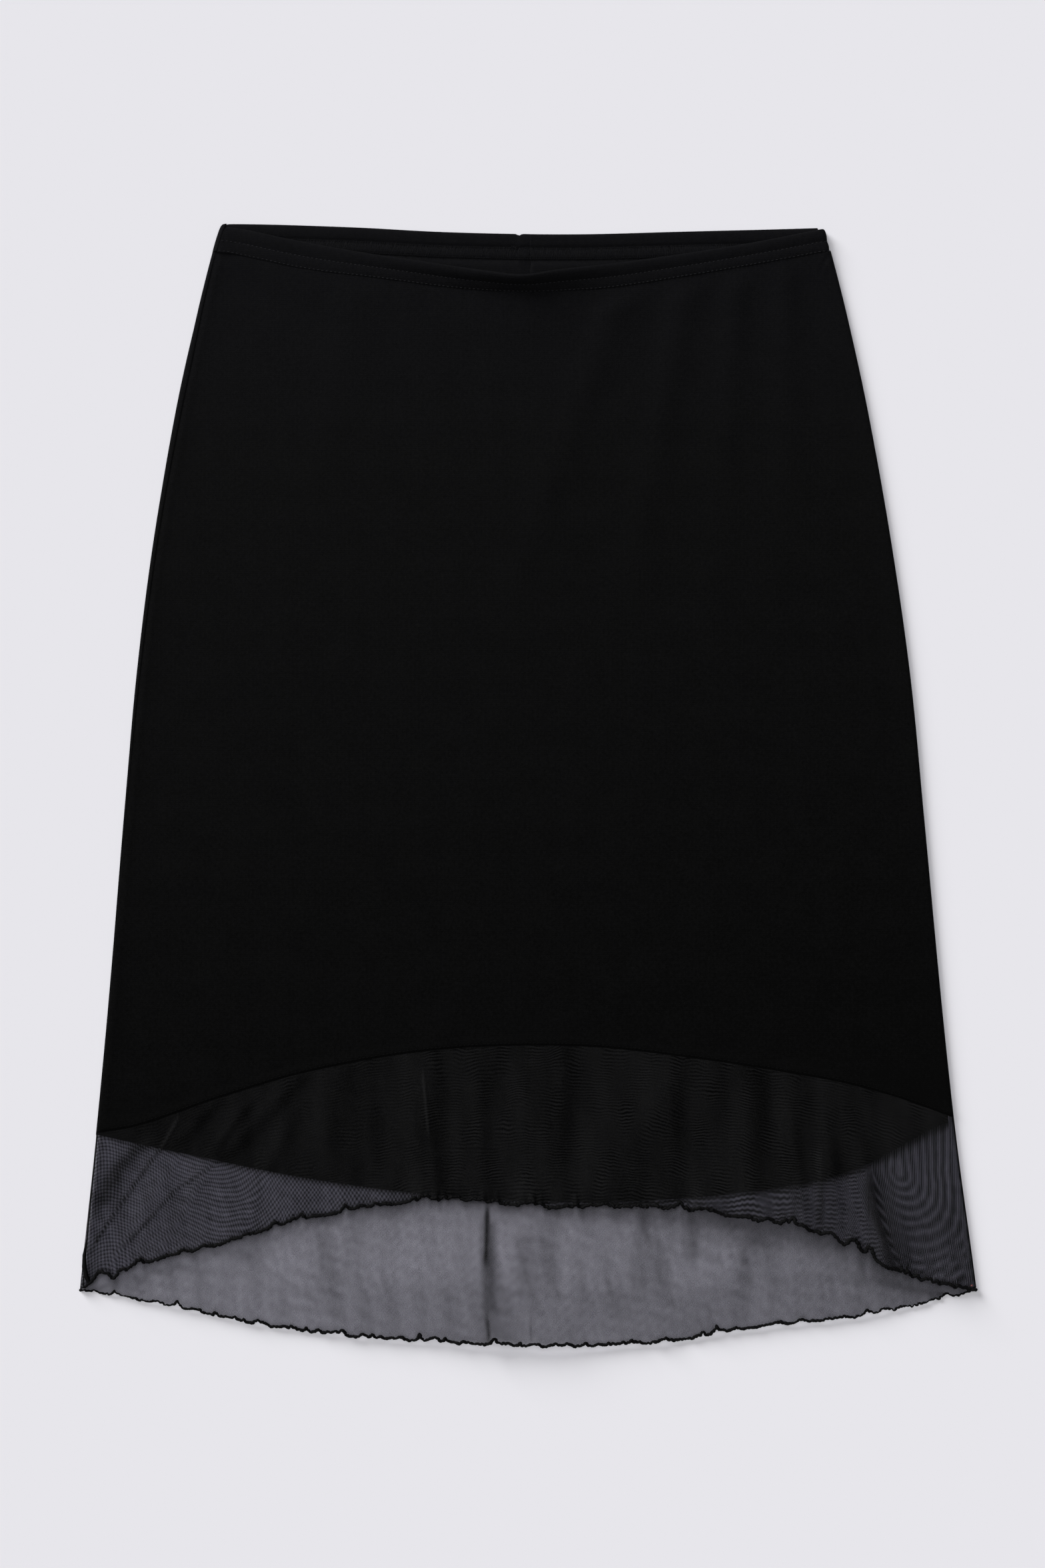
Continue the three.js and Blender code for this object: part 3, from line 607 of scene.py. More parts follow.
def make_shell(name, outer, inner, turned):
    """A closed shell of jersey between two grids."""
    count, rows = outer.shape[:2]
    step = count * rows
    index = np.arange(step).reshape(count, rows)
    a = np.concatenate([index[:, 0], index[-1, 1:], index[-2::-1, -1], index[0, -2:0:-1]])
    b = np.roll(a, -1)
    rim = np.stack([a, b, b + step, a + step], axis=1)
    quads = np.concatenate([grid_quads(count, rows), grid_quads(count, rows, step, True), rim])
    points = np.concatenate([outer.reshape(-1, 3), inner.reshape(-1, 3)])
    return make_piece(name, points, quads[:, ::-1] if turned else quads, JERSEY, rim=len(a))


def swept(path, out, radius, sides, squash=1.0):
    """Points and faces of a closed tube along a path, whose first side faces along out."""
    along = unit(np.gradient(path, axis=0))
    out = unit(out - along * np.sum(out * along, axis=1, keepdims=True))
    third = np.cross(along, out)
    angle = 2 * math.pi * np.arange(sides) / sides
    radius = np.broadcast_to(radius, (len(path),))[:, None, None]
    ring = np.cos(angle)[None, :, None] * out[:, None] * squash
    ring = ring + np.sin(angle)[None, :, None] * third[:, None]
    points = path[:, None] + radius * ring
    i = np.arange(sides)
    j = (i + 1) % sides
    start = np.arange(len(path) - 1)[:, None, None] * sides
    quads = (start + np.stack([i, j, j + sides, i + sides], axis=1)).reshape(-1, 4)
    caps = [i[::-1].tolist(), (i + (len(path) - 1) * sides).tolist()]
    return points.reshape(-1, 3), quads.tolist() + caps


def make_threads(name, parts, material):
    """One piece from many closed threads."""
    faces = []
    count = 0
    for part_points, part_faces in parts:
        faces += [[i + count for i in face] for face in part_faces]
        count += len(part_points)
    points = np.concatenate([part_points for part_points, _ in parts])
    mesh = new_mesh(name, points, faces, np.ones(len(faces), bool))
    return add_piece(name, mesh, material)


def lengths(points, axis):
    """Length of cloth from the first column or row."""
    step = np.linalg.norm(np.diff(points, axis=axis), axis=-1)
    start = np.zeros_like(np.take(step, [0], axis=axis))
    return np.concatenate([start, np.cumsum(step, axis=axis)], axis=axis)


def picked(values, at, run):
    """Vectors at some lengths along a run."""
    return np.stack([np.interp(at, run, column) for column in values.T], axis=1)


def resample(path, extra, pitch):
    """Points evenly spaced along a path, with other vectors carried along."""
    run = lengths(path, 0)
    at = np.arange(pitch / 2, run[-1], pitch)
    return picked(path, at, run), picked(extra, at, run)


def upright(count):
    return np.tile([0.0, 0.0, 1.0], (count, 1))


# Materials


def new_material(name):
    material = bpy.data.materials.new(name)
    material.use_nodes = True
    tree = material.node_tree
    return material, tree, tree.nodes["Principled BSDF"]


def add(tree, kind, **settings):
    node = tree.nodes.new(kind)
    for key, value in settings.items():
        setattr(node, key, value)
    return node


def object_place(tree):
    """The place on the object, whole and as its X and Y."""
    place = add(tree, "ShaderNodeTexCoord").outputs["Object"]
    parts = add(tree, "ShaderNodeSeparateXYZ")
    tree.links.new(place, parts.inputs["Vector"])
    return place, parts.outputs["X"], parts.outputs["Y"]


def set_gloss(shader, roughness, specular):
    shader.inputs["Roughness"].default_value = roughness
    shader.inputs["Specular IOR Level"].default_value = specular


def calc(tree, operation, a, b=None, c=None, clamp=False):
    node = add(tree, "ShaderNodeMath", operation=operation, use_clamp=clamp)
    for socket, value in zip(node.inputs, (a, b, c)):
        if isinstance(value, (int, float)):
            socket.default_value = value
        elif value is not None:
            tree.links.new(value, socket)
    return node.outputs[0]


def clamped_sum(tree, start, *terms):
    """Start plus each value times its factor, kept between 0 and 1."""
    total = start
    for value, factor in terms:
        total = calc(tree, "MULTIPLY_ADD", value, factor, total)
    return calc(tree, "ADD", total, 0.0, clamp=True)


def attribute(tree, name):
    return add(tree, "ShaderNodeAttribute", attribute_name=name).outputs["Fac"]


def noise(tree, vector, scale, detail, roughness):
    node = add(tree, "ShaderNodeTexNoise")
    node.inputs["Scale"].default_value = scale
    node.inputs["Detail"].default_value = detail
    node.inputs["Roughness"].default_value = roughness
    tree.links.new(vector, node.inputs["Vector"])
    return node.outputs["Fac"]


def colour_mix(tree, factor, name):
    """A colour from the darkest to the lightest of a material."""
    node = add(tree, "ShaderNodeMix", data_type="RGBA")
    tree.links.new(factor, node.inputs["Factor"])
    dark, light = COLOURS[name]
    node.inputs["A"].default_value = (*dark, 1)
    node.inputs["B"].default_value = (*light, 1)
    return node.outputs["Result"]


def bump_from(tree, shader, height, distance, strength):
    node = add(tree, "ShaderNodeBump")
    node.inputs["Distance"].default_value = distance
    node.inputs["Strength"].default_value = strength
    tree.links.new(height, node.inputs["Height"])
    tree.links.new(node.outputs["Normal"], shader.inputs["Normal"])


def wave_of(tree, value, pitch):
    """Cosine of a length, with the pitch in the same unit."""
    return calc(tree, "COSINE", calc(tree, "MULTIPLY", value, 2 * math.pi / pitch))


def jersey_material():
    material, tree, shader = new_material("jersey")
    place, x, y = object_place(tree)
    across = calc(tree, "PINGPONG", calc(tree, "DIVIDE", x, WALE * MM), 1.0)
    loops = calc(tree, "MULTIPLY_ADD", across, 0.5, calc(tree, "DIVIDE", y, COURSE * MM))
    knit = calc(tree, "SUBTRACT", wave_of(tree, loops, 1.0), calc(tree, "POWER", across, 3.0))
    grain = noise(tree, place, 1300, 3.0, 0.7)
    bump_from(tree, shader, calc(tree, "MULTIPLY_ADD", knit, 0.3, grain), 0.0002, 0.8)
    cloud = noise(tree, place, 60, 3.0, 0.6)
    speck = noise(tree, place, 620, 3.0, 0.75)
    # Painted light: the colour gets lighter towards the waist and the left, standing in for the light's
    # fall-off; the cloud and speck noise are the knit's own uneven colour
    shade = clamped_sum(tree, -0.36, (y, 1.35), (x, -0.45), (cloud, 0.3), (speck, 1.1))
    # Painted light: a faint bluish lightening added towards the waist
    lighter = add(tree, "ShaderNodeMix", data_type="RGBA", blend_type="ADD")
    lighter.inputs["B"].default_value = (*WAIST_PAINTED_LIGHT, 1)
    tree.links.new(clamped_sum(tree, -1.2, (y, 7.0)), lighter.inputs["Factor"])
    tree.links.new(colour_mix(tree, shade, "jersey"), lighter.inputs["A"])
    tree.links.new(lighter.outputs["Result"], shader.inputs["Base Color"])
    set_gloss(shader, 0.9, 0.02)
    shader.inputs["Sheen Weight"].default_value = 0.01
    shader.inputs["Sheen Roughness"].default_value = 0.5
    return material


def mesh_material():
    material, tree, shader = new_material("mesh")
    place, x, _ = object_place(tree)
    wales = wave_of(tree, x, WALE_PITCH * MM)
    net_u = calc(tree, "MULTIPLY_ADD", wales, attribute(tree, "wale"), attribute(tree, "net_u"))
    columns = wave_of(tree, net_u, NET_PITCH)
    rows = wave_of(tree, attribute(tree, "net_v"), NET_ROWS)
    holes = calc(tree, "MULTIPLY", columns, rows)
    # The density attribute carries the net's real thickening and, under the front hem and along creases,
    # painted shade
    limit = calc(tree, "MULTIPLY_ADD", attribute(tree, "density_and_shade"), 0.28, 0.07)
    alpha = clamped_sum(tree, 0.5, (calc(tree, "SUBTRACT", limit, holes), 2.2))
    cloud = noise(tree, place, 90, 3.0, 0.6)
    speck = noise(tree, place, 1500, 4.0, 0.8)
    rib = wave_of(tree, attribute(tree, "rib_v"), RIB_PITCH)
    rib = calc(tree, "MULTIPLY", rib, attribute(tree, "rib_strength"))
    # The threads' colour: their own uneven colour and ribs, plus painted highlight and shade along creases
    own = attribute(tree, "tone_and_crease_shading")
    tone_and_crease_shading = clamped_sum(tree, -0.58, (own, 1.0), (rib, 0.5), (cloud, 0.25), (speck, 1.7))
    tree.links.new(colour_mix(tree, tone_and_crease_shading, "mesh"), shader.inputs["Base Color"])
    set_gloss(shader, 0.9, 0.03)
    clear = add(tree, "ShaderNodeBsdfTransparent")
    clear.inputs["Color"].default_value = (*CLEAR_NET, 1)
    mix = add(tree, "ShaderNodeMixShader")
    tree.links.new(alpha, mix.inputs["Fac"])
    tree.links.new(clear.outputs["BSDF"], mix.inputs[1])
    tree.links.new(shader.outputs["BSDF"], mix.inputs[2])
    tree.links.new(mix.outputs["Shader"], tree.nodes["Material Output"].inputs["Surface"])
    return material


def thread_material(name):
    material, tree, shader = new_material(name)
    twist = noise(tree, object_place(tree)[0], 1500, 2.0, 0.6)
    tree.links.new(colour_mix(tree, twist, name), shader.inputs["Base Color"])
    bump_from(tree, shader, twist, 0.0001, 0.6)
    set_gloss(shader, 0.7, 0.08)
    return material


JERSEY = jersey_material()
MESH = mesh_material()
EDGE_THREAD = thread_material("edge_thread")
NEEDLE_THREAD = thread_material("needle_thread")
LOOPER_THREAD = thread_material("looper_thread")
TACK_THREAD = thread_material("tack_thread")


# Body panels


def panel_grid(place, top_line, end_line, side, t, rows, over_top, short_of_end):
    """Places of a layer's points, from above its top line to just short of its lower one."""
    top = depth_on(top_line, side, t, place) - over_top
    end = depth_on(end_line, side, t, place) - short_of_end
    depth = lerp(top, end, rows[None, :])
    x, z = place(side, t, depth)
    return x, depth, z


FRONT_ROWS = lerp(np.linspace(0, 1, 190), smooth(np.linspace(0, 1, 190)), 0.35)
BACK_ROWS = np.linspace(0, 1, 110)
MESH_ROWS = np.concatenate([np.linspace(0, 0.75, 34, endpoint=False), np.linspace(0.75, 1, 26)])
FINE_LEFT = np.linspace(0, 0.97, 12)
FINE_RIGHT = np.linspace(0.03, 1, 16)


def waist_crease(x, depth):
    """Depth of the short crease below the casing, at the right."""
    start, end = np.array(WAIST_CREASE["start"]), np.array(WAIST_CREASE["end"])
    line = end - start
    px, pd = x - start[0], depth - start[1]
    along = (px * line[0] + pd * line[1]) / (line @ line)
    off = np.abs(px * line[1] - pd * line[0]) / np.linalg.norm(line)
    lengthwise = ease(along, -0.1, 0.15) * ease(-along, -1.15, -0.7)
    profile = bump(off, WAIST_CREASE["width"]) - 0.8 * bump(off - 1.9, 1.1)
    return WAIST_CREASE["depth"] * profile * lengthwise


def front_body():
    side, t = columns(FINE_LEFT, np.linspace(0.003, 0.997, 190), FINE_RIGHT)
    lines = (front_casing_end, front_mesh_seam)
    x, depth, z = panel_grid(on_front, *lines, side, t, FRONT_ROWS, UNDER_CASING, SHORT_OF_SEAM)
    from_left_seam = np.abs(x - left_side(depth)) - left_seam(depth) - 0.4
    on_top = np.broadcast_to(side <= 0, depth.shape)
    relief = seam_relief(front_mesh_seam(x) - depth) - waist_crease(x, depth)
    relief = relief + np.where(on_top, seam_relief(np.maximum(from_left_seam, 0), 0.2, 0.1), 0)
    middle = frame_points(x, depth, z)
    normals = grid_normals(middle, True)
    relief = relief * ease(normals[..., 2], 0.2, 0.8)
    outer = middle + normals * (WALL / 2 - SKIN + relief)[..., None]
    outer[..., 2] = np.maximum(outer[..., 2], FLOOR_GAP)
    piece = make_shell("front_body", outer, outer - normals * JERSEY_THICKNESS, False)
    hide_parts("front_panel")
    return piece, outer, normals


def centre_lap(x, raised):
    """Height added to the left half at the centre back, where its edge dips under the right half."""
    up = raised * ease(x, CENTRE_BACK - 7.6, CENTRE_BACK - 5.0)
    return up - 2 * raised * ease(x, CENTRE_BACK - 1.0, CENTRE_BACK + 1.2)


def half_columns(half, margin, count):
    """Columns of the left or right half of a back layer, which end at the centre back."""
    run = np.linspace(margin, 1, count) if half < 0 else np.linspace(0, 1 - margin, count)
    return columns(FINE_LEFT if half < 0 else [], run, FINE_RIGHT if half > 0 else [])


def half_place(whole, half, raised):
    """Places on one half of a back layer, from the places on the whole of it."""

    def place(side, t, depth):
        ends = [whole(np.zeros_like(t), np.full_like(t, end), depth)[0] for end in (0.0, 1.0)]
        centre = (CENTRE_BACK + HALF_EDGES[half] - ends[0]) / (ends[1] - ends[0])
        inside = t * centre if half < 0 else lerp(centre, 1, t)
        x, z = whole(side, np.where(side == 0, inside, t), depth)
        return x, z + (centre_lap(x, raised) if half < 0 else 0)

    return place


def back_body(half):
    side, t = half_columns(half, 0.003, 60)
    place = half_place(on_back, half, 0.14)
    lines = (back_casing_end, back_mesh_seam)
    x, depth, z = panel_grid(place, *lines, side, t, BACK_ROWS, UNDER_CASING, SHORT_OF_SEAM)
    middle = frame_points(x, depth, z)
    normals = grid_normals(middle, False)
    outer = middle + normals * (WALL / 2 - SKIN)
    inner = outer - normals * JERSEY_THICKNESS
    outer[..., 2] = np.maximum(outer[..., 2], FLOOR_GAP)
    piece = make_shell("back_body_left" if half < 0 else "back_body_right", outer, inner, True)
    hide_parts("back_panel_left" if half < 0 else "back_panel_right")
    return piece


# Mesh bands


def as_seen(x, depth, z):
    """Where points at height z seem to lie on the surface, seen from above the skirt's middle."""
    tilt = z / CAMERA["height"]
    return x + (x + SHIFT_X - CAMERA["x"]) * tilt, depth + (depth - SHIFT_Y) * tilt


def net_coordinates(x, depth, front):
    """Where the net's columns and rows lie on a layer, in millimetres of net."""
    u = x + uneven(x, depth, (0.5, 55, 21))
    v = depth + uneven(x, depth, (0.5, 45, 22))
    if not front:
        return u, v
    top_x, top_depth = FRINGE_TOP
    below = np.maximum(depth - top_depth, 0)
    arcs = np.hypot(1.15 * (x - top_x - 0.3 * below), 0.86 * below) / FRINGE_PITCH
    arcs = arcs + uneven(x, depth, (0.16, 26, 23), (0.03, 6, 28))
    zigzag = np.abs((x / 1.6 + uneven(x, depth, (0.4, 14, 24))) % 2 - 1)
    ripples = depth / RIPPLE_PITCH + 0.3 * zigzag + uneven(x, depth, (0.5, 24, 25))
    fold = np.interp(depth, RIGHT_FOLD["depth"], RIGHT_FOLD["x"])
    right = lerp(ripples, arcs, ease(x - fold, -2, 2))
    turn = NET_TURN * ease(-x, 130, 235)
    down = depth - 530
    along_x = x * np.cos(turn) + down * np.sin(turn) + uneven(x, depth, (0.6, 30, 26), (0.1, 9, 29))
    along_depth = down * np.cos(turn) - x * np.sin(turn)
    along_depth = along_depth + uneven(x, depth, (0.6, 26, 27), (0.12, 9, 30))
    u = u + NET_PITCH * np.where(x < 0, along_x / DOTS_ACROSS, 0)
    return u, v + NET_ROWS * np.where(x < 0, along_depth / DOTS_DOWN, right)


def net_density(front, rows, x, depth, up, seam_line):
    """How much thicker the net looks at a place: in creases, on slopes, at the folded sides, over
    seam allowances, and in the shade of the front hem. The hem's shadow and part of the creases'
    darkness are painted shade, drawn as a denser net."""
    slope = 1 / np.maximum(np.abs(up), 0.25) - 1
    density_and_shade = creases(rows, x, depth, "density_and_shade") + 0.7 * slope + 0.19 + 0.0009 * x
    density_and_shade = density_and_shade + uneven(x * 2.2, depth * 0.35, (0.1, 24, 41 if front else 42))
    density_and_shade = density_and_shade + uneven(x, depth, (0.1, 8, 43), (0.1, 3.6, 44))
    density_and_shade = density_and_shade + 0.5 * bump(np.maximum(from_sides(x, depth) - 0.4, 0), 0.9)
    if front:
        return density_and_shade - 0.15 * ease(-x, 40, 90) - 0.25 * ease(x, 110, 180)
    on_right = ease(x, 100, 200)
    density_and_shade = density_and_shade + lerp(1.1, 2.2, on_right) * bump(depth - seam_line(x), lerp(1.3, 3.4, on_right))
    # Painted shadow: the back net is made denser just below the front hem, so it looks darker there
    past_front = depth - front_hem(x)
    shaded = bump(np.maximum(past_front, 0), np.interp(x, *HEM_SHADE["reach"]))
    return density_and_shade + np.interp(x, *HEM_SHADE["strength"]) * shaded * ease(past_front, -1.5, 0)


def mesh_band(front):
    place = on_front if front else on_back
    seam_line = front_mesh_seam if front else back_mesh_seam
    hem_line = front_hem if front else back_hem
    rows = FRONT_MESH_CREASES if front else BACK_MESH_CREASES
    side, t = columns(FINE_LEFT, np.linspace(0.002, 0.998, 560), FINE_RIGHT)
    x, depth, z = panel_grid(place, seam_line, hem_line, side, t, MESH_ROWS, 0.3, 0)
    z = z - 0.25 * bump(depth - seam_line(x), 1.2) * (1 if front else -1)
    middle = frame_points(x, depth, z)
    normals = grid_normals(middle, front)
    sheet = middle + normals * MESH_SKIN
    up = normals[..., 2]
    turned = (side > 0) & (up < 0) if front else (side < 0) & (up > 0)
    seen = as_seen(x, depth, z)
    nets = zip(net_coordinates(*seen, not front), net_coordinates(*seen, front))
    u, v = [np.where(turned, other, own) for other, own in nets]
    rib = lengths(middle, 1) + uneven(x, depth, (1.3, 34, 51), (0.5, 11, 52), (0.22, 4.2, 55))
    rib_strength = 0.4 + uneven(x, depth * 0.6, (0.35, 12, 53))
    # Painted highlight and shade along creases, on top of the threads' own uneven colour
    tone_and_crease_shading = creases(rows, x, depth, "tone_and_crease_shading") + uneven(x, depth * 0.2, (0.13, 15, 54))
    fields = dict(
        net_u=u,
        net_v=v,
        wale=NET_PITCH * (0.2 if front else 0) * ease(x, 120, 150),
        rib_v=rib,
        rib_strength=rib_strength * lerp(0.5, 1, ease(x, -120, -20)),
        density_and_shade=net_density(front, rows, x, depth, up, seam_line),
        tone_and_crease_shading=tone_and_crease_shading + 0.07,
    )
    quads = grid_quads(*x.shape)
    name = "mesh_front" if front else "mesh_back"
    piece = make_piece(name, sheet, quads if front else quads[:, ::-1], MESH, fields)
    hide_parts("mesh_band_front" if front else "mesh_band_back")
    return piece, sheet, normals


def hem_thread(front, sheet, normals):
    """The overlocked edge that wraps the mesh's last row."""
    end = sheet[:, -1]
    out = np.cross(unit(np.gradient(end, axis=0)), normals[:, -1]) * (1 if front else -1)
    run = lengths(end, 0)
    at = np.arange(0, run[-1], 0.28)
    path, out = picked(end, at, run), picked(out, at, run)
    x = path[:, 0]
    if front:
        radius = 0.88 + 0.1 * ease(x, 80, 150)
    else:
        radius = 0.52 + 0.34 * ease(235 - np.abs(x), 10, 110)
    radius = radius + 0.08 * np.abs(np.sin(math.pi * at / 0.85))
    radius = radius + uneven(at, 0, (0.12, 4.5, 61 + front), (0.12, 1.6, 63 + front))
    wander = uneven(at, 0, (0.3, 2.2, 71 + front), (0.18, 1.0, 73 + front))
    path = path + out * (0.08 + wander)[:, None]
    path[:, 2] = np.maximum(path[:, 2], radius + 0.02)
    name = "hem_thread_front" if front else "hem_thread_back"
    piece = make_threads(name, [swept(path, out, radius, 8, 0.85)], EDGE_THREAD)
    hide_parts("hem_edge_front" if front else "hem_edge_back")
    return piece


# Waist casing


def casing_piece(name, node, place, top_line, end_line, side, t, front):
    top = depth_on(top_line, side, t, place)
    end = depth_on(end_line, side, t, place)
    keys = CASING["along"]
    along = through(range(len(keys)), keys)(np.linspace(0, len(keys) - 1, 57))
    profiles = {key: through(keys, values)(along)[None, :] for key, values in CASING.items()}
    prefix = "front" if front else "back"
    if not front:
        top = top + 0.9 * bump(place(side, t, top)[0] - CENTRE_BACK + 5.6, 1.1)
    depth = lerp(end, top, along[None, :])
    x, z = place(side, t, depth)
    if front:
        z = z + np.interp(along, keys, CASING["rise"])[None, :] * lip_lift(x)
    middle = frame_points(x, depth, z)
    up = unit(np.gradient(middle, axis=1))
    across = np.gradient(middle, axis=0)
    normals = unit(np.cross(across, up) if front else np.cross(up, across))
    pucker = uneven(x * 2.6, depth, (0.05, 6, 81)) * ease(along, 0, 0.2)[None, :]
    out = lerp(profiles[prefix + "_out"], profiles["back_out"], bump(lengths(middle, 0), 8))
    outer = middle + normals * (out + pucker)[..., None]
    inner = middle + normals * (profiles[prefix + "_in"] - pucker)[..., None]
    outer[..., 2] = np.maximum(outer[..., 2], 0.02)
    piece = make_shell(name, outer, inner, front)
    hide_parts(node)
    rows = {key: int(np.argmin(np.abs(along - up_by / CASING_DEPTH))) for key, up_by in GAUGE.items()}
    return piece, outer, inner, normals, rows


# A short thread along X, thin at both ends, with Z out of the cloth


STITCH = swept(
    np.array([(along, 0.0, 0.0) for along in (-0.5, -0.36, 0.0, 0.36, 0.5)]),
    np.tile([0.0, 1.0, 0.0], (5, 1)),
    np.array([0.35, 0.85, 1.0, 0.85, 0.35]),
    6,
)


def stitches_along(path, normals, pitch, length, radius, sink, seed, wander=0.06):
    """One short thread at each step of a path on the cloth."""
    rng = np.random.default_rng(seed)
    places, outs = resample(path, normals, pitch)
    ahead = unit(np.gradient(places, axis=0))
    side = unit(np.cross(outs, ahead))
    outs = np.cross(ahead, side)
    parts = []
    template, faces = STITCH
    for place, forward, sideways, out in zip(places, ahead, side, outs):
        forward = forward + sideways * rng.normal(0, wander)
        size = length * rng.uniform(0.88, 1.08)
        axes = np.array([forward * size, sideways * radius, out * radius])
        parts.append((place + out * (radius * 0.5 - sink) + template @ axes, faces))
    return parts


def waist():
    side, t = columns(FINE_LEFT, np.linspace(0.004, 0.996, 300), FINE_RIGHT)
    lines = (front_top, front_casing_end)
    front = casing_piece("waist_front", "waist_casing_front", on_front_casing, *lines, side, t, True)
    backs = []
    for half, name in ((-1, "left"), (1, "right")):
        names = ("waist_back_" + name, "waist_casing_back_" + name)
        place = half_place(on_back_casing, half, 0.2)
        side, t = half_columns(half, 0.004, 150)
        backs.append(casing_piece(*names, place, back_top, back_casing_end, side, t, False))
    return front, backs


def twin_needle_rows(front):
    """The two needle rows on the outside of the front casing."""
    _, outer, _, normals, rows = front
    size = (STITCH_PITCH, STITCH_LENGTH, STITCH_RADIUS)
    parts = []
    for seed, row in enumerate(rows.values()):
        parts += stitches_along(outer[:, row], normals[:, row], *size, 0.08, seed)
    return make_threads("needle_rows_front", parts, NEEDLE_THREAD)


def looper_rows(backs):
    """The looper threads inside the back casing: uneven strands between two rows of loops."""
    rng = np.random.default_rng(17)
    parts = []
    for _, _, inner, normals, rows in backs:
        edges = [(inner[:, row], -normals[:, row]) for row in (rows["lower"], rows["upper"])]
        for pitch, first, thickness in STRANDS:
            count = int(lengths(edges[0][0], 0)[-1] / pitch)
            loops = [resample(path, out, lengths(path, 0)[-1] / count) for path, out in edges]
            count = min(len(points) for points, _ in loops)
            corners = np.array([loops[(k + first) % 2][0][k] for k in range(count)])
            corners = corners + rng.normal(0, 0.42, (count, 3)) * (1, 1, 0)
            outs = np.array([loops[(k + first) % 2][1][k] for k in range(count)])
            at = np.arange(0, count - 1, 1 / 3)
            height = 0.19 + 0.14 * np.sin(math.pi * (at % 1)) + 0.05 * rng.normal(0, 1, len(at))
            outs = picked(outs, at, range(count))
            path = picked(corners, at, range(count)) + outs * height[:, None]
            parts.append(swept(path, outs, thickness * rng.uniform(0.7, 1.3, len(at)), 5))
        for seed, (path, out) in enumerate(edges):
            parts += stitches_along(path, out, STITCH_PITCH / 2, 1.2, 0.2, -0.12, 11 + seed, 0.4)
    left_inner, rows = backs[0][2], backs[0][4]
    turns = np.cumsum(rng.normal(0, 0.55, (26, 3)), axis=0) * (1, 0.8, 0)
    knot = left_inner[-8, rows["upper"]] + turns - turns.mean(axis=0) + (-1.6, 0.6, 0.5)
    parts.append(swept(knot, upright(26), 0.15, 5))
    return make_threads("looper_rows_back", parts, LOOPER_THREAD)


def seam_stitches(outer, normals):
    """The faint needle row just above the front mesh seam."""
    count = outer.shape[0]
    from_seam = lengths(outer, 1)[:, -1:] - lengths(outer, 1)
    pick = np.argmin(np.abs(from_seam - 2.0), axis=1)
    path = outer[np.arange(count), pick]
    outs = normals[np.arange(count), pick]
    inside = slice(12, count - 16)
    parts = stitches_along(path[inside], outs[inside], 2.2, 1.5, 0.15, 0.09, 31)
    return make_threads("seam_row_front", parts, EDGE_THREAD)


def side_seam_threads(front_sheet):
    """The mesh's own side seams: a thin roll of overlocked allowance along each folded side."""
    parts = []
    for column in (0, int(np.argmax(front_sheet[:, 30, 0]))):
        path = front_sheet[column, ::2].copy()
        path[:, 2] = np.maximum(path[:, 2] - 0.2, 0.36)
        path[:, 0] -= np.sign(path[0, 0]) * 0.05
        parts.append(swept(path, upright(len(path)), 0.34, 7))
    t = np.linspace(0, 1, 70)
    x, depth = [np.interp(t, TURNED_ROLL["along"], TURNED_ROLL[key]) for key in ("x", "depth")]
    radius = np.interp(t, (0, 0.25, 0.5, 0.85, 1), (0.3, 0.85, 1.25, 1.3, 0.8))
    radius = radius + uneven(t * 26, 0, (0.08, 3.5, 66))
    turned = frame_points(x, depth, 2.6 + 0.8 * np.sin(math.pi * t))
    parts.append(swept(turned, upright(len(t)), radius, 10))
    return make_threads("mesh_side_seams", parts, EDGE_THREAD)


def corner_tack():
    """A tack of rosy thread at the front hem's right corner."""
    t = np.linspace(0, 1, 13)
    parts = []
    for k in range(4):
        x = TACK_AT[0] + 1.5 * (t - 0.5)
        depth = TACK_AT[1] - 0.45 + 0.3 * k + 0.2 * np.sin(math.pi * t + k)
        path = frame_points(x, depth, 2.9 + 0.35 * np.sin(math.pi * t))
        parts.append(swept(path, upright(len(t)), 0.14, 6))
    return make_threads("corner_tack", parts, TACK_THREAD)


def centre_back_allowance():
    """The overlocked allowance of the centre back seam, pressed to the left inside the back."""
    depth = np.linspace(15, 526, 260)[:, None]
    outer_edge = np.interp(depth, [21, 60, 400, 444, 526], [-6.8, -5.4, -3.4, -1.8, -6.2])
    inner_edge = CENTRE_BACK + np.interp(depth, [21, 60], [1.2, 0])
    profile = np.array([-0.12, 0.1, 0.3, 0.42, 0.44, 0.42, 0.32, 0.1, -0.12])
    x = lerp(inner_edge, outer_edge, np.linspace(0, 1, len(profile))[None, :])
    depth = depth + 0 * x
    ripple = uneven(depth, x, (0.04, 3.0, 91))
    flatter = lerp(0.45, 1, ease(depth, 40, 90))
    inside = BACK_HEIGHT - WALL / 2 + SKIN + JERSEY_THICKNESS
    top = frame_points(x, depth, inside + profile[None, :] * flatter + ripple)
    under = top.copy()
    under[..., 2] = inside - 0.3
    return make_shell("centre_back_allowance", top, under, False)


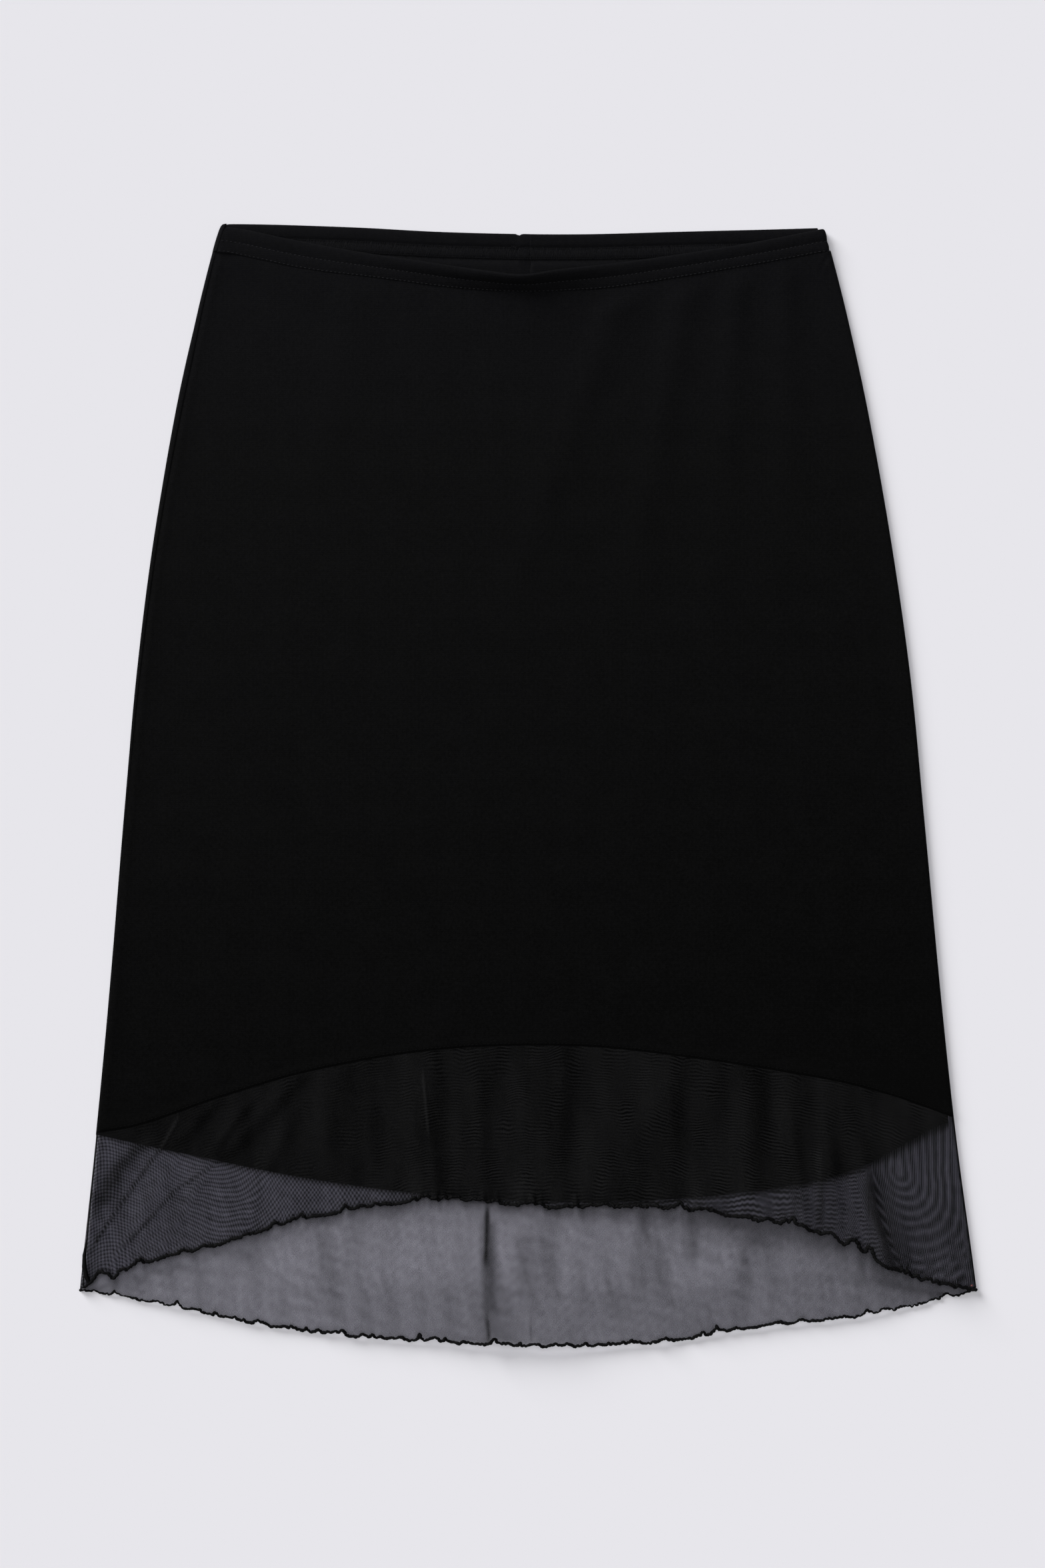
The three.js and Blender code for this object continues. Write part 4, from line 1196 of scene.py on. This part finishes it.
front_piece, front_outer, front_normals = front_body()
back_left = back_body(-1)
back_right = back_body(1)
mesh_front, front_sheet, front_sheet_normals = mesh_band(True)
mesh_back, back_sheet, back_sheet_normals = mesh_band(False)
hem_front = hem_thread(True, front_sheet, front_sheet_normals)
hem_back = hem_thread(False, back_sheet, back_sheet_normals)
waist_front, waist_backs = waist()
needle_rows = twin_needle_rows(waist_front)
looper_rows(waist_backs)
seam_row = seam_stitches(front_outer, front_normals)
side_seams = side_seam_threads(front_sheet)
allowance = centre_back_allowance()
tack = corner_tack()


# Studio


def floor():
    size = 12.0
    mesh = bpy.data.meshes.new("floor")
    corners = [(-size, -size, 0), (size, -size, 0), (size, size, 0), (-size, size, 0)]
    mesh.from_pydata(corners, [], [[0, 1, 2, 3]])
    material, _, shader = new_material("floor")
    shader.inputs["Base Color"].default_value = (*FLOOR_COLOUR, 1)
    set_gloss(shader, 1.0, 0.0)
    mesh.materials.append(material)
    new_object("floor", mesh)


# Shares of the light on the floor, with the lamps' elevation and size in degrees
AMBIENT = 0.07
LAMPS = [
    dict(name="overhead", share=0.46, elevation=88, azimuth=135, size=46),
    dict(name="side", share=0.47, elevation=24, azimuth=135, size=32),
]


def lights():
    world = bpy.data.worlds.new("studio")
    world.use_nodes = True
    background = world.node_tree.nodes["Background"]
    background.inputs["Color"].default_value = (1, 1, 1, 1)
    background.inputs["Strength"].default_value = AMBIENT
    bpy.context.scene.world = world
    for lamp in LAMPS:
        sun = bpy.data.lights.new(lamp["name"], "SUN")
        elevation = math.radians(lamp["elevation"])
        sun.angle = math.radians(lamp["size"])
        sun.energy = lamp["share"] * math.pi / math.sin(elevation)
        turn = (0, math.pi / 2 - elevation, math.radians(lamp["azimuth"]))
        new_object(lamp["name"], sun).rotation_euler = turn


def camera():
    data = bpy.data.cameras.new("camera")
    data.lens = CAMERA["lens"]
    data.sensor_width = CAMERA["sensor"]
    data.clip_end = 50
    eye = new_object("camera", data)
    eye.location = (CAMERA["x"] * MM, CAMERA["y"] * MM, CAMERA["height"] * MM)
    bpy.context.scene.camera = eye
    bpy.context.scene.view_settings.view_transform = "Standard"
    bpy.context.scene.view_settings.look = "None"


floor()
lights()
camera()
